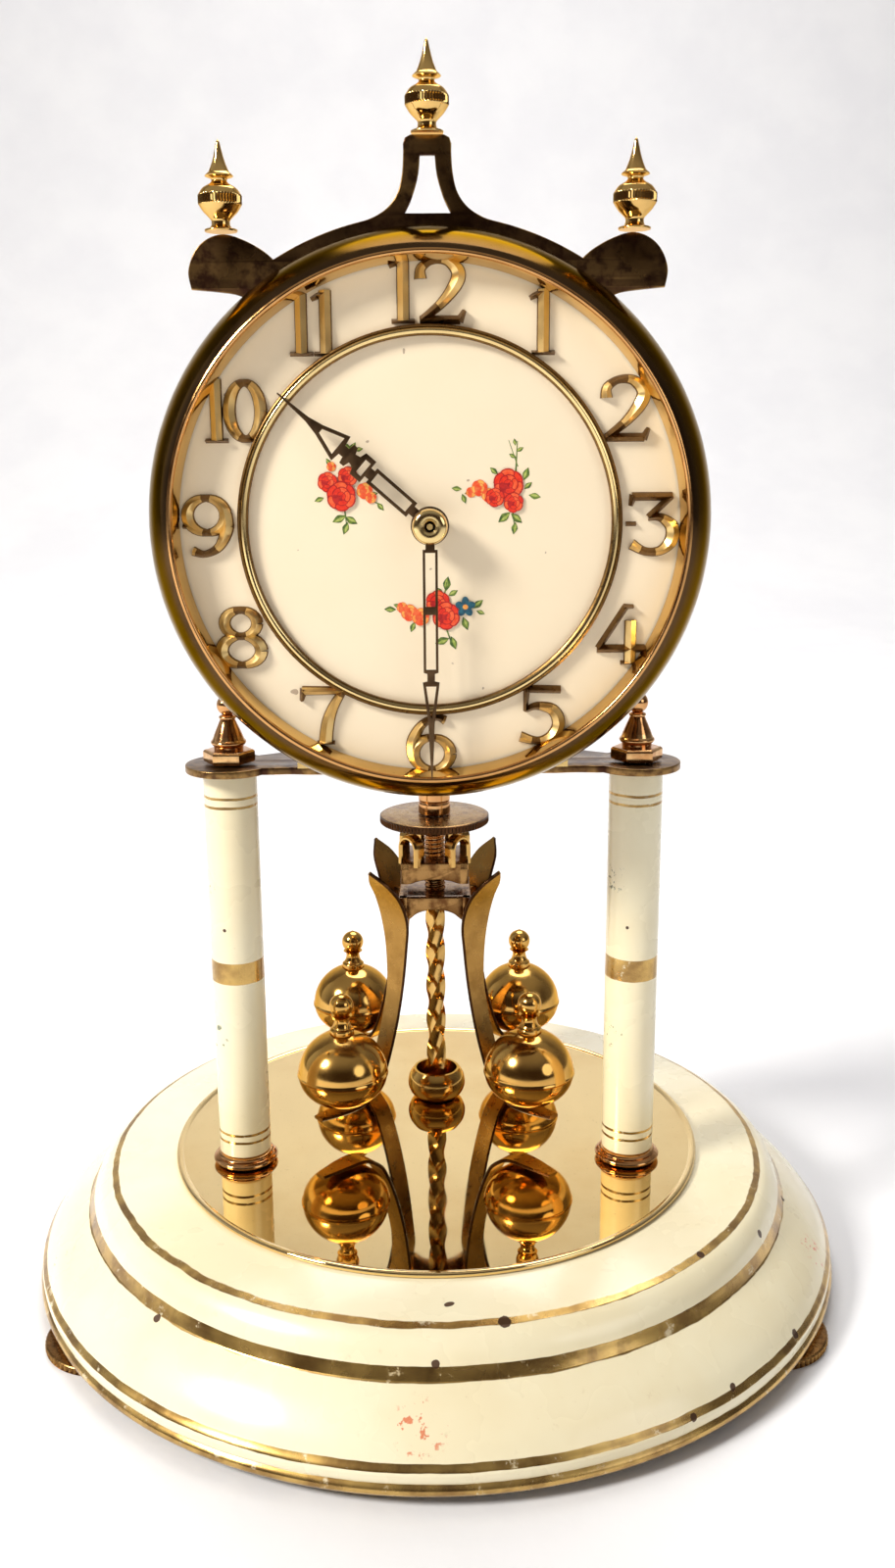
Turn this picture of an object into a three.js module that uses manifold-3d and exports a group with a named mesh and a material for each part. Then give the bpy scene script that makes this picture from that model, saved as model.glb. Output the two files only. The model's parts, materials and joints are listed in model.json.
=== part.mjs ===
// Anniversary (torsion pendulum) clock: enamelled base, two pillars, skeleton movement
// behind a round dial, and a four-ball pendulum hanging on a thin ribbon.
// Millimetres, +Z up, the clock faces -Y. Origin: centre of the base, on the surface it stands on.
import * as THREE from 'three';
import { mergeVertices } from 'three/addons/utils/BufferGeometryUtils.js';
import Module from 'manifold-3d';

const wasm = await Module();
wasm.setup();

// ---------- driving dimensions ----------
const GAP = 0.3;                 // clearance between touching pieces

const BASE_RADIUS = 95;
const BASE_BOTTOM = 2.5;         // underside of the rolled rim, held up by the levelling screws
const BASE_TOP = 27.4;
const BASE_WALL = 1.2;
const MIRROR_RADIUS = 62.6;
const MIRROR_TOP = 28.4;
const MIRROR_THICK = 0.7;
const SCREW_CIRCLE = 84;         // levelling screws
const SCREW_WHEEL_RADIUS = 13.2;
const SCREW_WHEEL_THICK = 2;

const PILLAR_X = 44.8;
const PILLAR_Y = -13.5;
const PILLAR_RADIUS = 5.9;
const PILLAR_BORE = 2.2;
const COLLAR_RADIUS = 7.5;
const COLLAR_TOP = 31.2;
const PLATFORM_BOTTOM = 122.4;
const PLATFORM_TOP = 124;
const PLATFORM_END_RADIUS = 9.8;

const DIAL_Z = 176.6;            // centre of the dial and of the hands
const DIAL_FACE_Y = -38.7;
const DIAL_THICK = 0.7;
const DIAL_RADIUS = 52.4;
const BEZEL_RADIUS = 56;
const BEZEL_BACK_Y = -29;
const NUMERAL_RISE = 1.4;
const RING_RADIUS = 36.6;
const NUMERAL_RADIUS = 43.4;
const NUMERAL_HEIGHT = 13.6;
const NUMERAL_OUTER = 47.2;       // the bezel's sloped wall begins outside this radius
const GALLERY_Y = -28.7;
const GALLERY_THICK = 1.5;
const GALLERY_RADIUS = 59;
const SIDE_FINIAL_X = 39.8;
const SIDE_FINIAL_Z = 231.6;
const LYRE_TOP_Z = 249;

const FRONT_PLATE_Y = -21.5;
const BACK_PLATE_Y = 4;
const PLATE_THICK = 1.5;
const PLATE_HALF_WIDTH = 29;
const PLATE_BOTTOM = 124.4;
const PLATE_TOP = 224;
const POST_X = 25.5;
const POST_Z = [132, 217];
const SHAFT_RADIUS = 0.75;
const PIVOT_RADIUS = 0.6;
const PIVOT_HOLE = 0.95;

const PENDULUM_Y = 19.5;         // the pendulum hangs behind the movement
const BALL_CIRCLE = 31.6;
const BALL_RADIUS = 10.7;
const BALL_Z = 45.3;              // the seam, where a ball is widest
const BALL_DEPTH = 8.3;           // from the seam down
const BALL_HEIGHT = 10.4;         // from the seam up
const REGULATOR_RADIUS = 13.4;
const REGULATOR_TOP = 103.6;
const REGULATOR_THICK = 2.1;
const SPINDLE_RADIUS = 2.6;
const UPPER_SPIDER_HALF = 8.2;
const LOWER_SPIDER_HALF = 8.8;
const LOWER_SPIDER_TOP = 84.6;
const LOWER_SPIDER_FOOT = 79;
const RIBBON_TOP = 224;
const RIBBON_BOTTOM = 113.3;

// ---------- finishes ----------
const FINISHES = {
  enamel: { color: 0xf4ecc8, roughness: 0.35, metalness: 0 },
  dial: { color: 0xf2e6cb, roughness: 0.55, metalness: 0 },
  brass: { color: 0xd8a54a, roughness: 0.22, metalness: 1 },
  oldBrass: { color: 0x9a6a2c, roughness: 0.4, metalness: 1 },
  bronze: { color: 0x4a2c1c, roughness: 0.4, metalness: 0.8 },
  steel: { color: 0x9a9a9c, roughness: 0.35, metalness: 1 },
};

const clock = new THREE.Group();

function add(name, geometry, finish, x = 0, y = 0, z = 0) {
  const mesh = new THREE.Mesh(geometry, new THREE.MeshStandardMaterial(FINISHES[finish]));
  mesh.name = name;
  mesh.position.set(x, y, z);
  clock.add(mesh);
  return mesh;
}

// ---------- solids ----------
// A closed mesh with merged corners, no zero-width faces, and its faces pointing out.
function closed(source) {
  const bare = source.clone();
  bare.deleteAttribute('normal');
  bare.deleteAttribute('uv');
  const merged = mergeVertices(bare, 1e-4);
  const at = merged.attributes.position;
  const index = merged.index.array;
  const kept = [];
  let volume = 0;
  const a = new THREE.Vector3();
  const b = new THREE.Vector3();
  const c = new THREE.Vector3();
  for (let i = 0; i < index.length; i += 3) {
    const [p, q, r] = [index[i], index[i + 1], index[i + 2]];
    if (p === q || q === r || r === p) continue;
    kept.push(p, q, r);
    a.fromBufferAttribute(at, p);
    b.fromBufferAttribute(at, q);
    c.fromBufferAttribute(at, r);
    volume += a.dot(b.cross(c));
  }
  merged.setIndex(volume > 0 ? kept : kept.reverse());
  return merged;
}

function toSolid(geometry) {
  const mesh = closed(geometry);
  return new wasm.Manifold(new wasm.Mesh({
    numProp: 3,
    vertProperties: new Float32Array(mesh.attributes.position.array),
    triVerts: new Uint32Array(mesh.index.array),
  }));
}

function toGeometry(solid) {
  const mesh = solid.getMesh();
  const geometry = new THREE.BufferGeometry();
  geometry.setAttribute('position', new THREE.BufferAttribute(new Float32Array(mesh.vertProperties), 3));
  geometry.setIndex(Array.from(mesh.triVerts));
  return geometry;
}

function join(...pieces) {
  return toGeometry(pieces.map(toSolid).reduce((sum, piece) => sum.add(piece)));
}

function cut(body, ...tools) {
  return toGeometry(tools.map(toSolid).reduce((rest, tool) => rest.subtract(tool), toSolid(body)));
}

function common(a, b) {
  return toGeometry(toSolid(a).intersect(toSolid(b)));
}

// A profile of [radius, height] points turned about the vertical axis.
function turnedUp(profile, sides = 24) {
  const points = profile.map(([r, h]) => new THREE.Vector2(r, h));
  return closed(new THREE.LatheGeometry(points, sides).rotateX(Math.PI / 2));
}

// A profile of [radius, y] points turned about an axis that runs front to back.
function turnedBack(profile, sides = 16) {
  const points = profile.map(([r, y]) => new THREE.Vector2(r, y));
  return closed(new THREE.LatheGeometry(points, sides));
}

function ringProfile(inner, outer, low, high) {
  return [[inner, low], [outer, low], [outer, high], [inner, high], [inner, low]];
}

function rodBack(radius, y0, y1, sides = 12) {
  return turnedBack([[0, y0], [radius, y0], [radius, y1], [0, y1]], sides);
}

function rodUp(radius, z0, z1, sides = 12) {
  return turnedUp([[0, z0], [radius, z0], [radius, z1], [0, z1]], sides);
}

function block(x0, x1, y0, y1, z0, z1) {
  const box = new THREE.BoxGeometry(x1 - x0, y1 - y0, z1 - z0);
  return box.translate((x0 + x1) / 2, (y0 + y1) / 2, (z0 + z1) / 2);
}

// A shape drawn in X and Z, standing upright from y0 back to y1.
function uprightPlate(shape, y0, y1, curveSegments = 8) {
  const settings = { depth: y1 - y0, bevelEnabled: false, curveSegments };
  const plate = new THREE.ExtrudeGeometry(shape, settings);
  return closed(plate.rotateX(Math.PI / 2).translate(0, y1, 0));
}

function flatPlate(shape, z0, z1, curveSegments = 8) {
  const settings = { depth: z1 - z0, bevelEnabled: false, curveSegments };
  return closed(new THREE.ExtrudeGeometry(shape, settings).translate(0, 0, z0));
}

function polygon(points) {
  return new THREE.Shape(points.map(([x, y]) => new THREE.Vector2(x, y)));
}

function arcPoints(cx, cy, radius, fromDeg, toDeg, steps) {
  const points = [];
  for (let i = 0; i <= steps; i += 1) {
    const a = THREE.MathUtils.degToRad(fromDeg + ((toDeg - fromDeg) * i) / steps);
    points.push([cx + radius * Math.cos(a), cy + radius * Math.sin(a)]);
  }
  return points;
}

function circleHole(shape, x, y, radius, steps = 12) {
  const ring = arcPoints(x, y, radius, 360, 0, steps).slice(0, -1);
  shape.holes.push(new THREE.Path(ring.map(([px, py]) => new THREE.Vector2(px, py))));
}

// ---------- base ----------
function baseShell() {
  const outer = [
    [BASE_RADIUS - 0.8, BASE_BOTTOM],
    [BASE_RADIUS, BASE_BOTTOM + 0.8],
    [BASE_RADIUS, 4.6],
    [94.4, 5.3],
    [94.5, 7.7],
    [91.2, 12],
    [87, 15.6],
    [83.3, 18.7],
    [82, 21.2],
    [80, 24.6],
    [77.6, 26.5],
    [75.6, BASE_TOP],
  ];
  const inner = [[75, BASE_TOP], [82.3, 18.7], [93.3, 8], [93.2, 5]]
    .map(([r, z]) => [r - BASE_WALL, z - BASE_WALL]);
  const foot = [[93.2, BASE_BOTTOM]];
  const loop = [[0, BASE_TOP - BASE_WALL], ...inner, ...foot, ...outer, [0, BASE_TOP]];
  const bosses = screwPlaces().map(([x, y]) => rodUp(3.4, 7, 15, 8).translate(x, y, 0));
  const screwHoles = screwPlaces().map(([x, y]) => rodUp(1.9, 6, 14, 8).translate(x, y, 0));
  const boltHoles = [-1, 1].map((side) => rodUp(PILLAR_BORE, 20, 30).translate(side * PILLAR_X, PILLAR_Y, 0));
  return cut(join(turnedUp(loop, 44), ...bosses), ...screwHoles, ...boltHoles);
}

function screwPlaces() {
  return [210, 330, 90].map((deg) => {
    const a = THREE.MathUtils.degToRad(deg);
    return [SCREW_CIRCLE * Math.cos(a), SCREW_CIRCLE * Math.sin(a)];
  });
}

function levellingScrew() {
  const knurls = 16;
  const edge = [];
  for (let i = 0; i < knurls * 2; i += 1) {
    const a = (Math.PI * i) / knurls;
    const r = SCREW_WHEEL_RADIUS - (i % 2) * 0.35;
    edge.push([r * Math.cos(a), r * Math.sin(a)]);
  }
  return join(flatPlate(polygon(edge), 0, SCREW_WHEEL_THICK), rodUp(1.6, 1, 13.4));
}

function mirrorDisc() {
  const rim = MIRROR_RADIUS - 1.6;
  const low = MIRROR_TOP - MIRROR_THICK;
  const disc = turnedUp([
    [0, low], [MIRROR_RADIUS, low], [MIRROR_RADIUS - 0.4, MIRROR_TOP + 0.4],
    [rim + 0.4, MIRROR_TOP + 0.4], [rim, MIRROR_TOP], [0, MIRROR_TOP],
  ], 48);
  const holes = [-1, 1].map((side) => rodUp(PILLAR_BORE, 20, 30).translate(side * PILLAR_X, PILLAR_Y, 0));
  return cut(disc, ...holes);
}

function pendulumCup() {
  const foot = MIRROR_TOP + GAP;
  return turnedUp([
    [0, foot], [6.2, foot], [7.1, foot + 1.2], [7.4, foot + 3], [7, foot + 5.2], [5.6, foot + 7.6],
    [4.8, foot + 7.6], [6.4, foot + 4], [5.6, foot + 1.6], [0, foot + 1.1],
  ], 18);
}

// ---------- pillars and platform ----------
function pillar() {
  const high = PLATFORM_BOTTOM - GAP;
  return turnedUp(ringProfile(PILLAR_BORE, PILLAR_RADIUS, COLLAR_TOP + GAP, high), 20);
}

function pillarCollar() {
  const low = MIRROR_TOP + GAP;
  return turnedUp([
    [PILLAR_BORE, low], [COLLAR_RADIUS - 0.9, low], [COLLAR_RADIUS, low + 1],
    [COLLAR_RADIUS - 0.2, low + 1.7], [COLLAR_RADIUS - 1.3, COLLAR_TOP], [PILLAR_BORE, COLLAR_TOP],
    [PILLAR_BORE, low],
  ], 18);
}

// A tie bolt: its hexagon clamps the platform, and its head is a cone with a ball.
function pillarFinial() {
  const rod = rodUp(1.7, 25, PLATFORM_TOP + 2, 8);
  const hexagon = rodUp(6, PLATFORM_TOP + GAP, PLATFORM_TOP + 3, 6);
  const foot = PLATFORM_TOP + 2.9;
  const head = turnedUp([
    [0, foot], [2.4, foot], [4.3, foot + 0.6], [4.2, foot + 1.4], [1.9, foot + 6.6], [1.3, foot + 7],
    [1.3, foot + 7.6], [2.5, foot + 8.7], [2.5, foot + 10.8], [0, foot + 12.4],
  ], 12);
  return join(rod, hexagon, head);
}

function platform() {
  const outline = [
    ...arcPoints(-PILLAR_X, PILLAR_Y, PLATFORM_END_RADIUS, 55, 325, 10),
    [-30, PILLAR_Y - 5.7],
    [30, PILLAR_Y - 5.7],
    ...arcPoints(PILLAR_X, PILLAR_Y, PLATFORM_END_RADIUS, 215, 485, 10),
    ...arcPoints(0, -20, 33, 50, 130, 8),
  ];
  const shape = polygon(outline);
  circleHole(shape, -PILLAR_X, PILLAR_Y, PILLAR_BORE);
  circleHole(shape, PILLAR_X, PILLAR_Y, PILLAR_BORE);
  return flatPlate(shape, PLATFORM_BOTTOM, PLATFORM_TOP);
}

// ---------- gallery, finials, bezel and dial ----------
function galleryPlate() {
  const right = [
    ...arcPoints(0, DIAL_Z, 54.6, -90, 48, 16),
    [36.3, 220.2], [45.8, 221.3], [46.6, 224.3], [44.6, 228.4], [41.6, 230.6], [SIDE_FINIAL_X, SIDE_FINIAL_Z],
    [36, 231.2], [33, 229.4], [30.4, 227.2],
    ...arcPoints(0, DIAL_Z, GALLERY_RADIUS, 58, 78.5, 4),
    [8.6, 236.3], [6.3, 239.4], [5.2, 243], [4.5, LYRE_TOP_Z],
  ];
  const left = right.slice(1).reverse().map(([x, z]) => [-x, z]);
  const shape = polygon([...right, ...left]);
  const opening = arcPoints(0, DIAL_Z, 46, 360, 0, 32).slice(0, -1);
  shape.holes.push(new THREE.Path(opening.map(([x, z]) => new THREE.Vector2(x, z))));
  const slot = [[-4.6, 235.6], [-1.7, 245.8], [1.7, 245.8], [4.6, 235.6]];
  shape.holes.push(new THREE.Path(slot.map(([x, z]) => new THREE.Vector2(x, z))));
  return uprightPlate(shape, GALLERY_Y, GALLERY_Y + GALLERY_THICK);
}

function topFinial() {
  return turnedUp([
    [0, GAP], [3.65, GAP], [3.65, 1], [2.2, 1.4], [2.2, 2.4], [3.6, 3.8], [4.2, 5.6], [4.2, 6.9], [3.3, 8.4],
    [1.3, 9.6], [1.3, 10.4], [2.8, 11.3], [1.5, 13.4], [0, 17],
  ], 12);
}

function bezel() {
  const face = DIAL_FACE_Y - GAP;
  return turnedBack([
    [54, BEZEL_BACK_Y], [55.3, BEZEL_BACK_Y], [BEZEL_RADIUS, -31.2], [55.2, -35], [53.7, -39.2],
    [51.4, -42.6], [49.6, -43.8], [48, face - 0.4], [48, face], [49.2, face], [52.6, -39.3],
    [54, -36.5], [54.4, -33], [54, BEZEL_BACK_Y],
  ], 40);
}

// Numerals are drawn in a box one unit high, as strokes along centre lines.
const DIGITS = {
  0: [arcPoints(0, 0, 1, 0, 360, 8).map(([x, y]) => [x * 0.27, 0.5 + y * 0.41])],
  1: [[[-0.14, 0.76], [0.02, 0.9], [0.02, 0.08]], [[-0.12, 0.08], [0.16, 0.08]]],
  2: [[...arcPoints(0, 0.68, 0.22, 165, -45, 5), [-0.22, 0.09], [0.24, 0.09]]],
  3: [[...arcPoints(0, 0.7, 0.2, 150, -70, 4), ...arcPoints(0, 0.3, 0.23, 70, -150, 4)]],
  4: [[[0.26, 0.3], [-0.26, 0.3], [0.1, 0.9], [0.1, 0.06]]],
  5: [[[0.22, 0.91], [-0.16, 0.91], [-0.2, 0.52], ...arcPoints(-0.01, 0.33, 0.25, 110, -150, 5)]],
  6: [[[0.18, 0.92], [-0.06, 0.74], ...arcPoints(0, 0.31, 0.23, 160, 520, 7)]],
  7: [[[-0.24, 0.91], [0.24, 0.91], [0.02, 0.5], [-0.06, 0.08]]],
  8: [arcPoints(0, 0.7, 0.19, 0, 360, 6), arcPoints(0, 0.29, 0.23, 30, 390, 6)],
  9: [[[-0.18, 0.08], [0.06, 0.26], ...arcPoints(0, 0.69, 0.23, -20, 340, 7)]],
};

// One straight stroke: a bar between two points with square ends, run on by half its width.
function strokeBar([x0, z0], [x1, z1], width) {
  const length = Math.hypot(x1 - x0, z1 - z0);
  const bar = new THREE.BoxGeometry(length + width * 0.9, NUMERAL_RISE, width);
  bar.rotateY(-Math.atan2(z1 - z0, x1 - x0));
  return bar.translate((x0 + x1) / 2, DIAL_FACE_Y + 0.2 - NUMERAL_RISE / 2, (z0 + z1) / 2);
}

function numeralBars(hour) {
  const angle = (Math.PI * hour) / 6;
  const cx = NUMERAL_RADIUS * Math.sin(angle);
  const cz = NUMERAL_RADIUS * Math.cos(angle);
  const text = String(hour);
  const bars = [];
  [...text].forEach((digit, place) => {
    const shift = (place - (text.length - 1) / 2) * 0.52;
    DIGITS[digit].forEach((line) => {
      const points = line.map(([x, z]) => [
        cx + (x + shift) * NUMERAL_HEIGHT, cz + (z - 0.5) * NUMERAL_HEIGHT,
      ]);
      for (let i = 1; i < points.length; i += 1) {
        bars.push(strokeBar(points[i - 1], points[i], 1.3));
      }
    });
  });
  return bars;
}

// The raised numerals are riveted to the dial, so they are one piece with it.
function dialPlate() {
  const face = turnedBack(ringProfile(3, DIAL_RADIUS, DIAL_FACE_Y, DIAL_FACE_Y + DIAL_THICK), 36);
  const feet = [-1, 1].map((side) => {
    const foot = rodBack(1.6, DIAL_FACE_Y + DIAL_THICK - 0.1, FRONT_PLATE_Y - GAP);
    return foot.translate(side * 20, 0, -18);
  });
  const bars = [];
  for (let hour = 1; hour <= 12; hour += 1) {
    bars.push(...numeralBars(hour));
  }
  const band = turnedBack(
    ringProfile(RING_RADIUS + 1.1, NUMERAL_OUTER, DIAL_FACE_Y - 5, DIAL_FACE_Y + 0.3), 24);
  return join(face, ...feet, common(join(...bars), band));
}

function chapterRing() {
  const back = DIAL_FACE_Y - GAP;
  return turnedBack(ringProfile(RING_RADIUS - 0.7, RING_RADIUS + 0.7, back - NUMERAL_RISE, back), 36);
}

// ---------- hands ----------
// Both hands are drawn pointing up from the centre at the origin.
function skeletonHand(outline, windows, hubRadius, holeRadius, y) {
  const blade = polygon(outline);
  windows.forEach((points) => {
    blade.holes.push(new THREE.Path(points.map(([x, z]) => new THREE.Vector2(x, z))));
  });
  const hub = new THREE.Shape(arcPoints(0, 0, hubRadius, 0, 360, 20).slice(0, -1)
    .map(([x, z]) => new THREE.Vector2(x, z)));
  const thick = 0.5;
  const hole = rodBack(holeRadius, y - 1, y + 2, 16);
  return cut(join(uprightPlate(blade, y, y + thick), uprightPlate(hub, y, y + thick)), hole);
}

function minuteHand() {
  const side = [[1.4, 3], [1.4, 28.2], [0.6, 29.4], [1.5, 30], [0.5, 39], [0.15, 49.4]];
  const outline = [...side, ...side.slice().reverse().map(([x, z]) => [-x, z])];
  const windows = [
    [[-0.7, 4.6], [-0.7, 14.7], [0.7, 14.7], [0.7, 4.6]],
    [[-0.7, 16.6], [-0.7, 27.6], [0.7, 27.6], [0.7, 16.6]],
    [[-0.8, 30.8], [0, 36.6], [0.8, 30.8]],
  ];
  return skeletonHand(outline, windows, 3.9, 1.9, -44);
}

function hourHand() {
  const side = [
    [1.5, 3], [1.5, 13], [3, 14.4], [1.8, 16], [3.4, 18.4], [1.6, 20.4], [2.6, 22.6], [1, 27], [0.15, 37.8],
  ];
  const outline = [...side, ...side.slice().reverse().map(([x, z]) => [-x, z])];
  const windows = [
    [[-0.8, 4.6], [-0.8, 12.4], [0.8, 12.4], [0.8, 4.6]],
    [[-1.5, 22.6], [0, 27], [1.5, 22.6], [0, 21]],
  ];
  return skeletonHand(outline, windows, 3.6, 2.9, -42.2);
}

// ---------- wheels ----------
// Pointed teeth, slim enough to run with play; the first tooth lies at toothAngle.
const TOOTH_TIP = 0.35;          // in modules, above and below the pitch circle
const TOOTH_ROOT = 1.5;

// The few leaves of a pinion are slimmer at the root than the teeth of a wheel.
function toothedOutline(teeth, module, toothAngle) {
  const tip = (teeth * module) / 2 + TOOTH_TIP * module;
  const root = (teeth * module) / 2 - TOOTH_ROOT * module;
  const step = (2 * Math.PI) / teeth;
  const corners = teeth < 20 ? [[root, -0.3], [tip, 0], [root, 0.3]] : [[tip, 0], [root, 0.5]];
  const points = [];
  for (let i = 0; i < teeth; i += 1) {
    corners.forEach(([r, share]) => {
      const a = toothAngle + (i + share) * step;
      points.push([r * Math.cos(a), r * Math.sin(a)]);
    });
  }
  return points;
}

// A wheel with three crossings, or a plain pinion when crossings is false.
function toothed(teeth, module, toothAngle, y0, y1, crossings = false) {
  const shape = polygon(toothedOutline(teeth, module, toothAngle));
  if (crossings) {
    const outer = (teeth * module) / 2 - 1.7 * module - 1.4;
    const inner = 2.6;
    for (let i = 0; i < 3; i += 1) {
      const from = 120 * i + 12;
      const to = 120 * i + 108;
      const window = [
        ...arcPoints(0, 0, outer, to, from, 3), ...arcPoints(0, 0, inner, from + 12, to - 12, 1),
      ];
      shape.holes.push(new THREE.Path(window.map(([x, z]) => new THREE.Vector2(x, z))));
    }
  }
  return uprightPlate(shape, y0, y1);
}

// Where two circles meet, on the left of the way from a to b.
function meeting(a, radiusA, b, radiusB) {
  const dx = b[0] - a[0];
  const dz = b[1] - a[1];
  const d = Math.hypot(dx, dz);
  const along = (radiusA ** 2 - radiusB ** 2 + d ** 2) / (2 * d);
  const off = Math.sqrt(radiusA ** 2 - along ** 2);
  return [a[0] + (along * dx - off * dz) / d, a[1] + (along * dz + off * dx) / d];
}

function heading(from, to) {
  return Math.atan2(to[1] - from[1], to[0] - from[0]);
}

function gapFacing(teeth, angle) {
  return angle + Math.PI / teeth;
}

function polar(from, distance, deg) {
  const a = THREE.MathUtils.degToRad(deg);
  return [from[0] + distance * Math.cos(a), from[1] + distance * Math.sin(a)];
}

const TRAIN = {
  barrel: { teeth: 56, pinion: 7, module: 0.66 },
  first: { teeth: 56, pinion: 7, module: 0.48 },
  second: { teeth: 70, pinion: 7, module: 0.36 },
  centre: { teeth: 48, pinion: 12, module: 0.5 },
  third: { teeth: 36, pinion: 12, module: 0.5 },
};

function meshDistance({ teeth, pinion, module }) {
  return ((teeth + pinion) * module) / 2;
}

const CENTRE = [0, DIAL_Z];
const BARREL = [-6, 146.5];
const FIRST = polar(BARREL, meshDistance(TRAIN.barrel), 38);
const SECOND = meeting(CENTRE, meshDistance(TRAIN.second), FIRST, meshDistance(TRAIN.first));
const THIRD = polar(CENTRE, meshDistance(TRAIN.centre), 130);
const ESCAPE = [0, THIRD[1] + Math.sqrt(meshDistance(TRAIN.third) ** 2 - THIRD[0] ** 2)];
const PALLETS = [0, ESCAPE[1] + 13];
const MOTION = polar(CENTRE, 12, 215);

const FRONT_PIVOT = FRONT_PLATE_Y + 0.2;
const BACK_PIVOT = BACK_PLATE_Y + PLATE_THICK - 0.2;

// A shaft between the plates, thinner where it runs in them.
function arbor(radius = SHAFT_RADIUS, front = FRONT_PIVOT, back = BACK_PIVOT) {
  const inFront = FRONT_PLATE_Y + PLATE_THICK + GAP;
  const inBack = BACK_PLATE_Y - GAP;
  return turnedBack([
    [0, front], [PIVOT_RADIUS, front], [PIVOT_RADIUS, inFront], [radius, inFront],
    [radius, inBack], [PIVOT_RADIUS, inBack], [PIVOT_RADIUS, back], [0, back],
  ], 8);
}

function wheelAndPinion(wheel, wheelAngle, wheelY, pinionTeeth, pinionModule, pinionAngle, pinionY) {
  return join(
    arbor(),
    toothed(wheel.teeth, wheel.module, wheelAngle, wheelY, wheelY + 1.1, true),
    rodBack(3.1, wheelY - 0.3, wheelY + 1.4, 8),
    toothed(pinionTeeth, pinionModule, pinionAngle, pinionY, pinionY + 3),
  );
}

function firstWheel() {
  const { barrel, first } = TRAIN;
  const pinionAngle = gapFacing(barrel.pinion, heading(FIRST, BARREL));
  return wheelAndPinion(first, heading(FIRST, SECOND), 1.2, barrel.pinion, barrel.module, pinionAngle, -18.3);
}

function secondWheel() {
  const { first, second } = TRAIN;
  const pinionAngle = gapFacing(first.pinion, heading(SECOND, FIRST));
  return wheelAndPinion(second, heading(SECOND, CENTRE), -18.4, first.pinion, first.module, pinionAngle, 0.4);
}

function thirdWheel() {
  const { centre, third } = TRAIN;
  const pinionAngle = gapFacing(centre.pinion, heading(THIRD, CENTRE));
  return wheelAndPinion(
    third, heading(THIRD, ESCAPE), -12.5, centre.pinion, centre.module, pinionAngle, -7.4);
}

function centreArbor() {
  const { centre, second } = TRAIN;
  const pinionAngle = gapFacing(second.pinion, heading(CENTRE, SECOND));
  return join(
    arbor(SHAFT_RADIUS, -45.4),
    toothed(centre.teeth, centre.module, heading(CENTRE, THIRD), -6.4, -5.3, true),
    rodBack(3.1, -6.8, -5),
    toothed(second.pinion, second.module, pinionAngle, -19, -16.6),
  );
}

function escapeWheel() {
  const teeth = 20;
  const points = [];
  for (let i = 0; i < teeth; i += 1) {
    const a = (2 * Math.PI * i) / teeth;
    points.push([8 * Math.cos(a), 8 * Math.sin(a)], [6.2 * Math.cos(a + 0.1), 6.2 * Math.sin(a + 0.1)]);
  }
  const { third } = TRAIN;
  const pinionAngle = gapFacing(third.pinion, heading(ESCAPE, THIRD));
  return join(
    arbor(),
    uprightPlate(polygon(points), 0.4, 1.3),
    rodBack(3.1, 0, 1.7),
    toothed(third.pinion, third.module, pinionAngle, -13.6, -10.4),
  );
}

// The pallets stand just outside the tips of the escape wheel; a wire behind works the fork.
function anchor() {
  const reach = [
    [-6.4, -6.2], [-7.6, -5.4], [-6.8, 0.2], [-2.2, 2.6], [2.2, 2.6], [6.8, 0.2], [7.6, -5.4], [6.4, -6.2],
    [5.6, -1], [1.6, 0.4], [-1.6, 0.4], [-5.6, -1],
  ];
  return join(
    arbor(SHAFT_RADIUS, FRONT_PIVOT, 8.6),
    uprightPlate(polygon(reach), 0.2, 1.6),
    rodBack(2, -0.2, 2),
    rodUp(0.5, -1, 11.5, 8).translate(0, 8, 0),
  );
}

function barrel() {
  const { barrel: great } = TRAIN;
  const front = -17.4;
  const drum = turnedBack([
    [1.9, front], [16.6, front], [16.6, 0], [15.6, 0], [15.6, front + 2], [1.9, front + 2], [1.9, front],
  ], 24);
  const outline = polygon(toothedOutline(great.teeth, great.module, heading(BARREL, FIRST)));
  circleHole(outline, 0, 0, 15.9, 16);
  return join(drum, uprightPlate(outline, front, front + 1.4));
}

// A wound steel band: a spiral strip with a small space between its turns.
function mainspring() {
  const turns = 4;
  const stepsPerTurn = 10;
  const thick = 0.9;
  const outer = [];
  const inner = [];
  for (let i = 0; i <= turns * stepsPerTurn; i += 1) {
    const a = (2 * Math.PI * i) / stepsPerTurn;
    const r = 5 + (9 * i) / (turns * stepsPerTurn);
    outer.push([(r + thick) * Math.cos(a), (r + thick) * Math.sin(a)]);
    inner.push([r * Math.cos(a), r * Math.sin(a)]);
  }
  return uprightPlate(polygon([...outer, ...inner.reverse()]), -14.6, -0.6);
}

// The arbor carries the ratchet behind the back plate and ends in the winding square.
function barrelArbor() {
  const teeth = 14;
  const points = [];
  for (let i = 0; i < teeth; i += 1) {
    const a = (2 * Math.PI * i) / teeth;
    points.push([6.6 * Math.cos(a), 6.6 * Math.sin(a)], [5.5 * Math.cos(a + 0.08), 5.5 * Math.sin(a + 0.08)]);
  }
  const inFront = FRONT_PLATE_Y + PLATE_THICK + GAP;
  const shaft = turnedBack([
    [0, FRONT_PIVOT], [1.2, FRONT_PIVOT], [1.2, inFront], [1.5, inFront], [1.5, -15], [3.6, -15], [3.6, -1],
    [1.5, -1], [1.5, 9], [0, 9],
  ], 12);
  const square = rodBack(2.1, 7, 14, 4);
  return join(shaft, uprightPlate(polygon(points), 5.9, 7.1), square);
}

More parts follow.
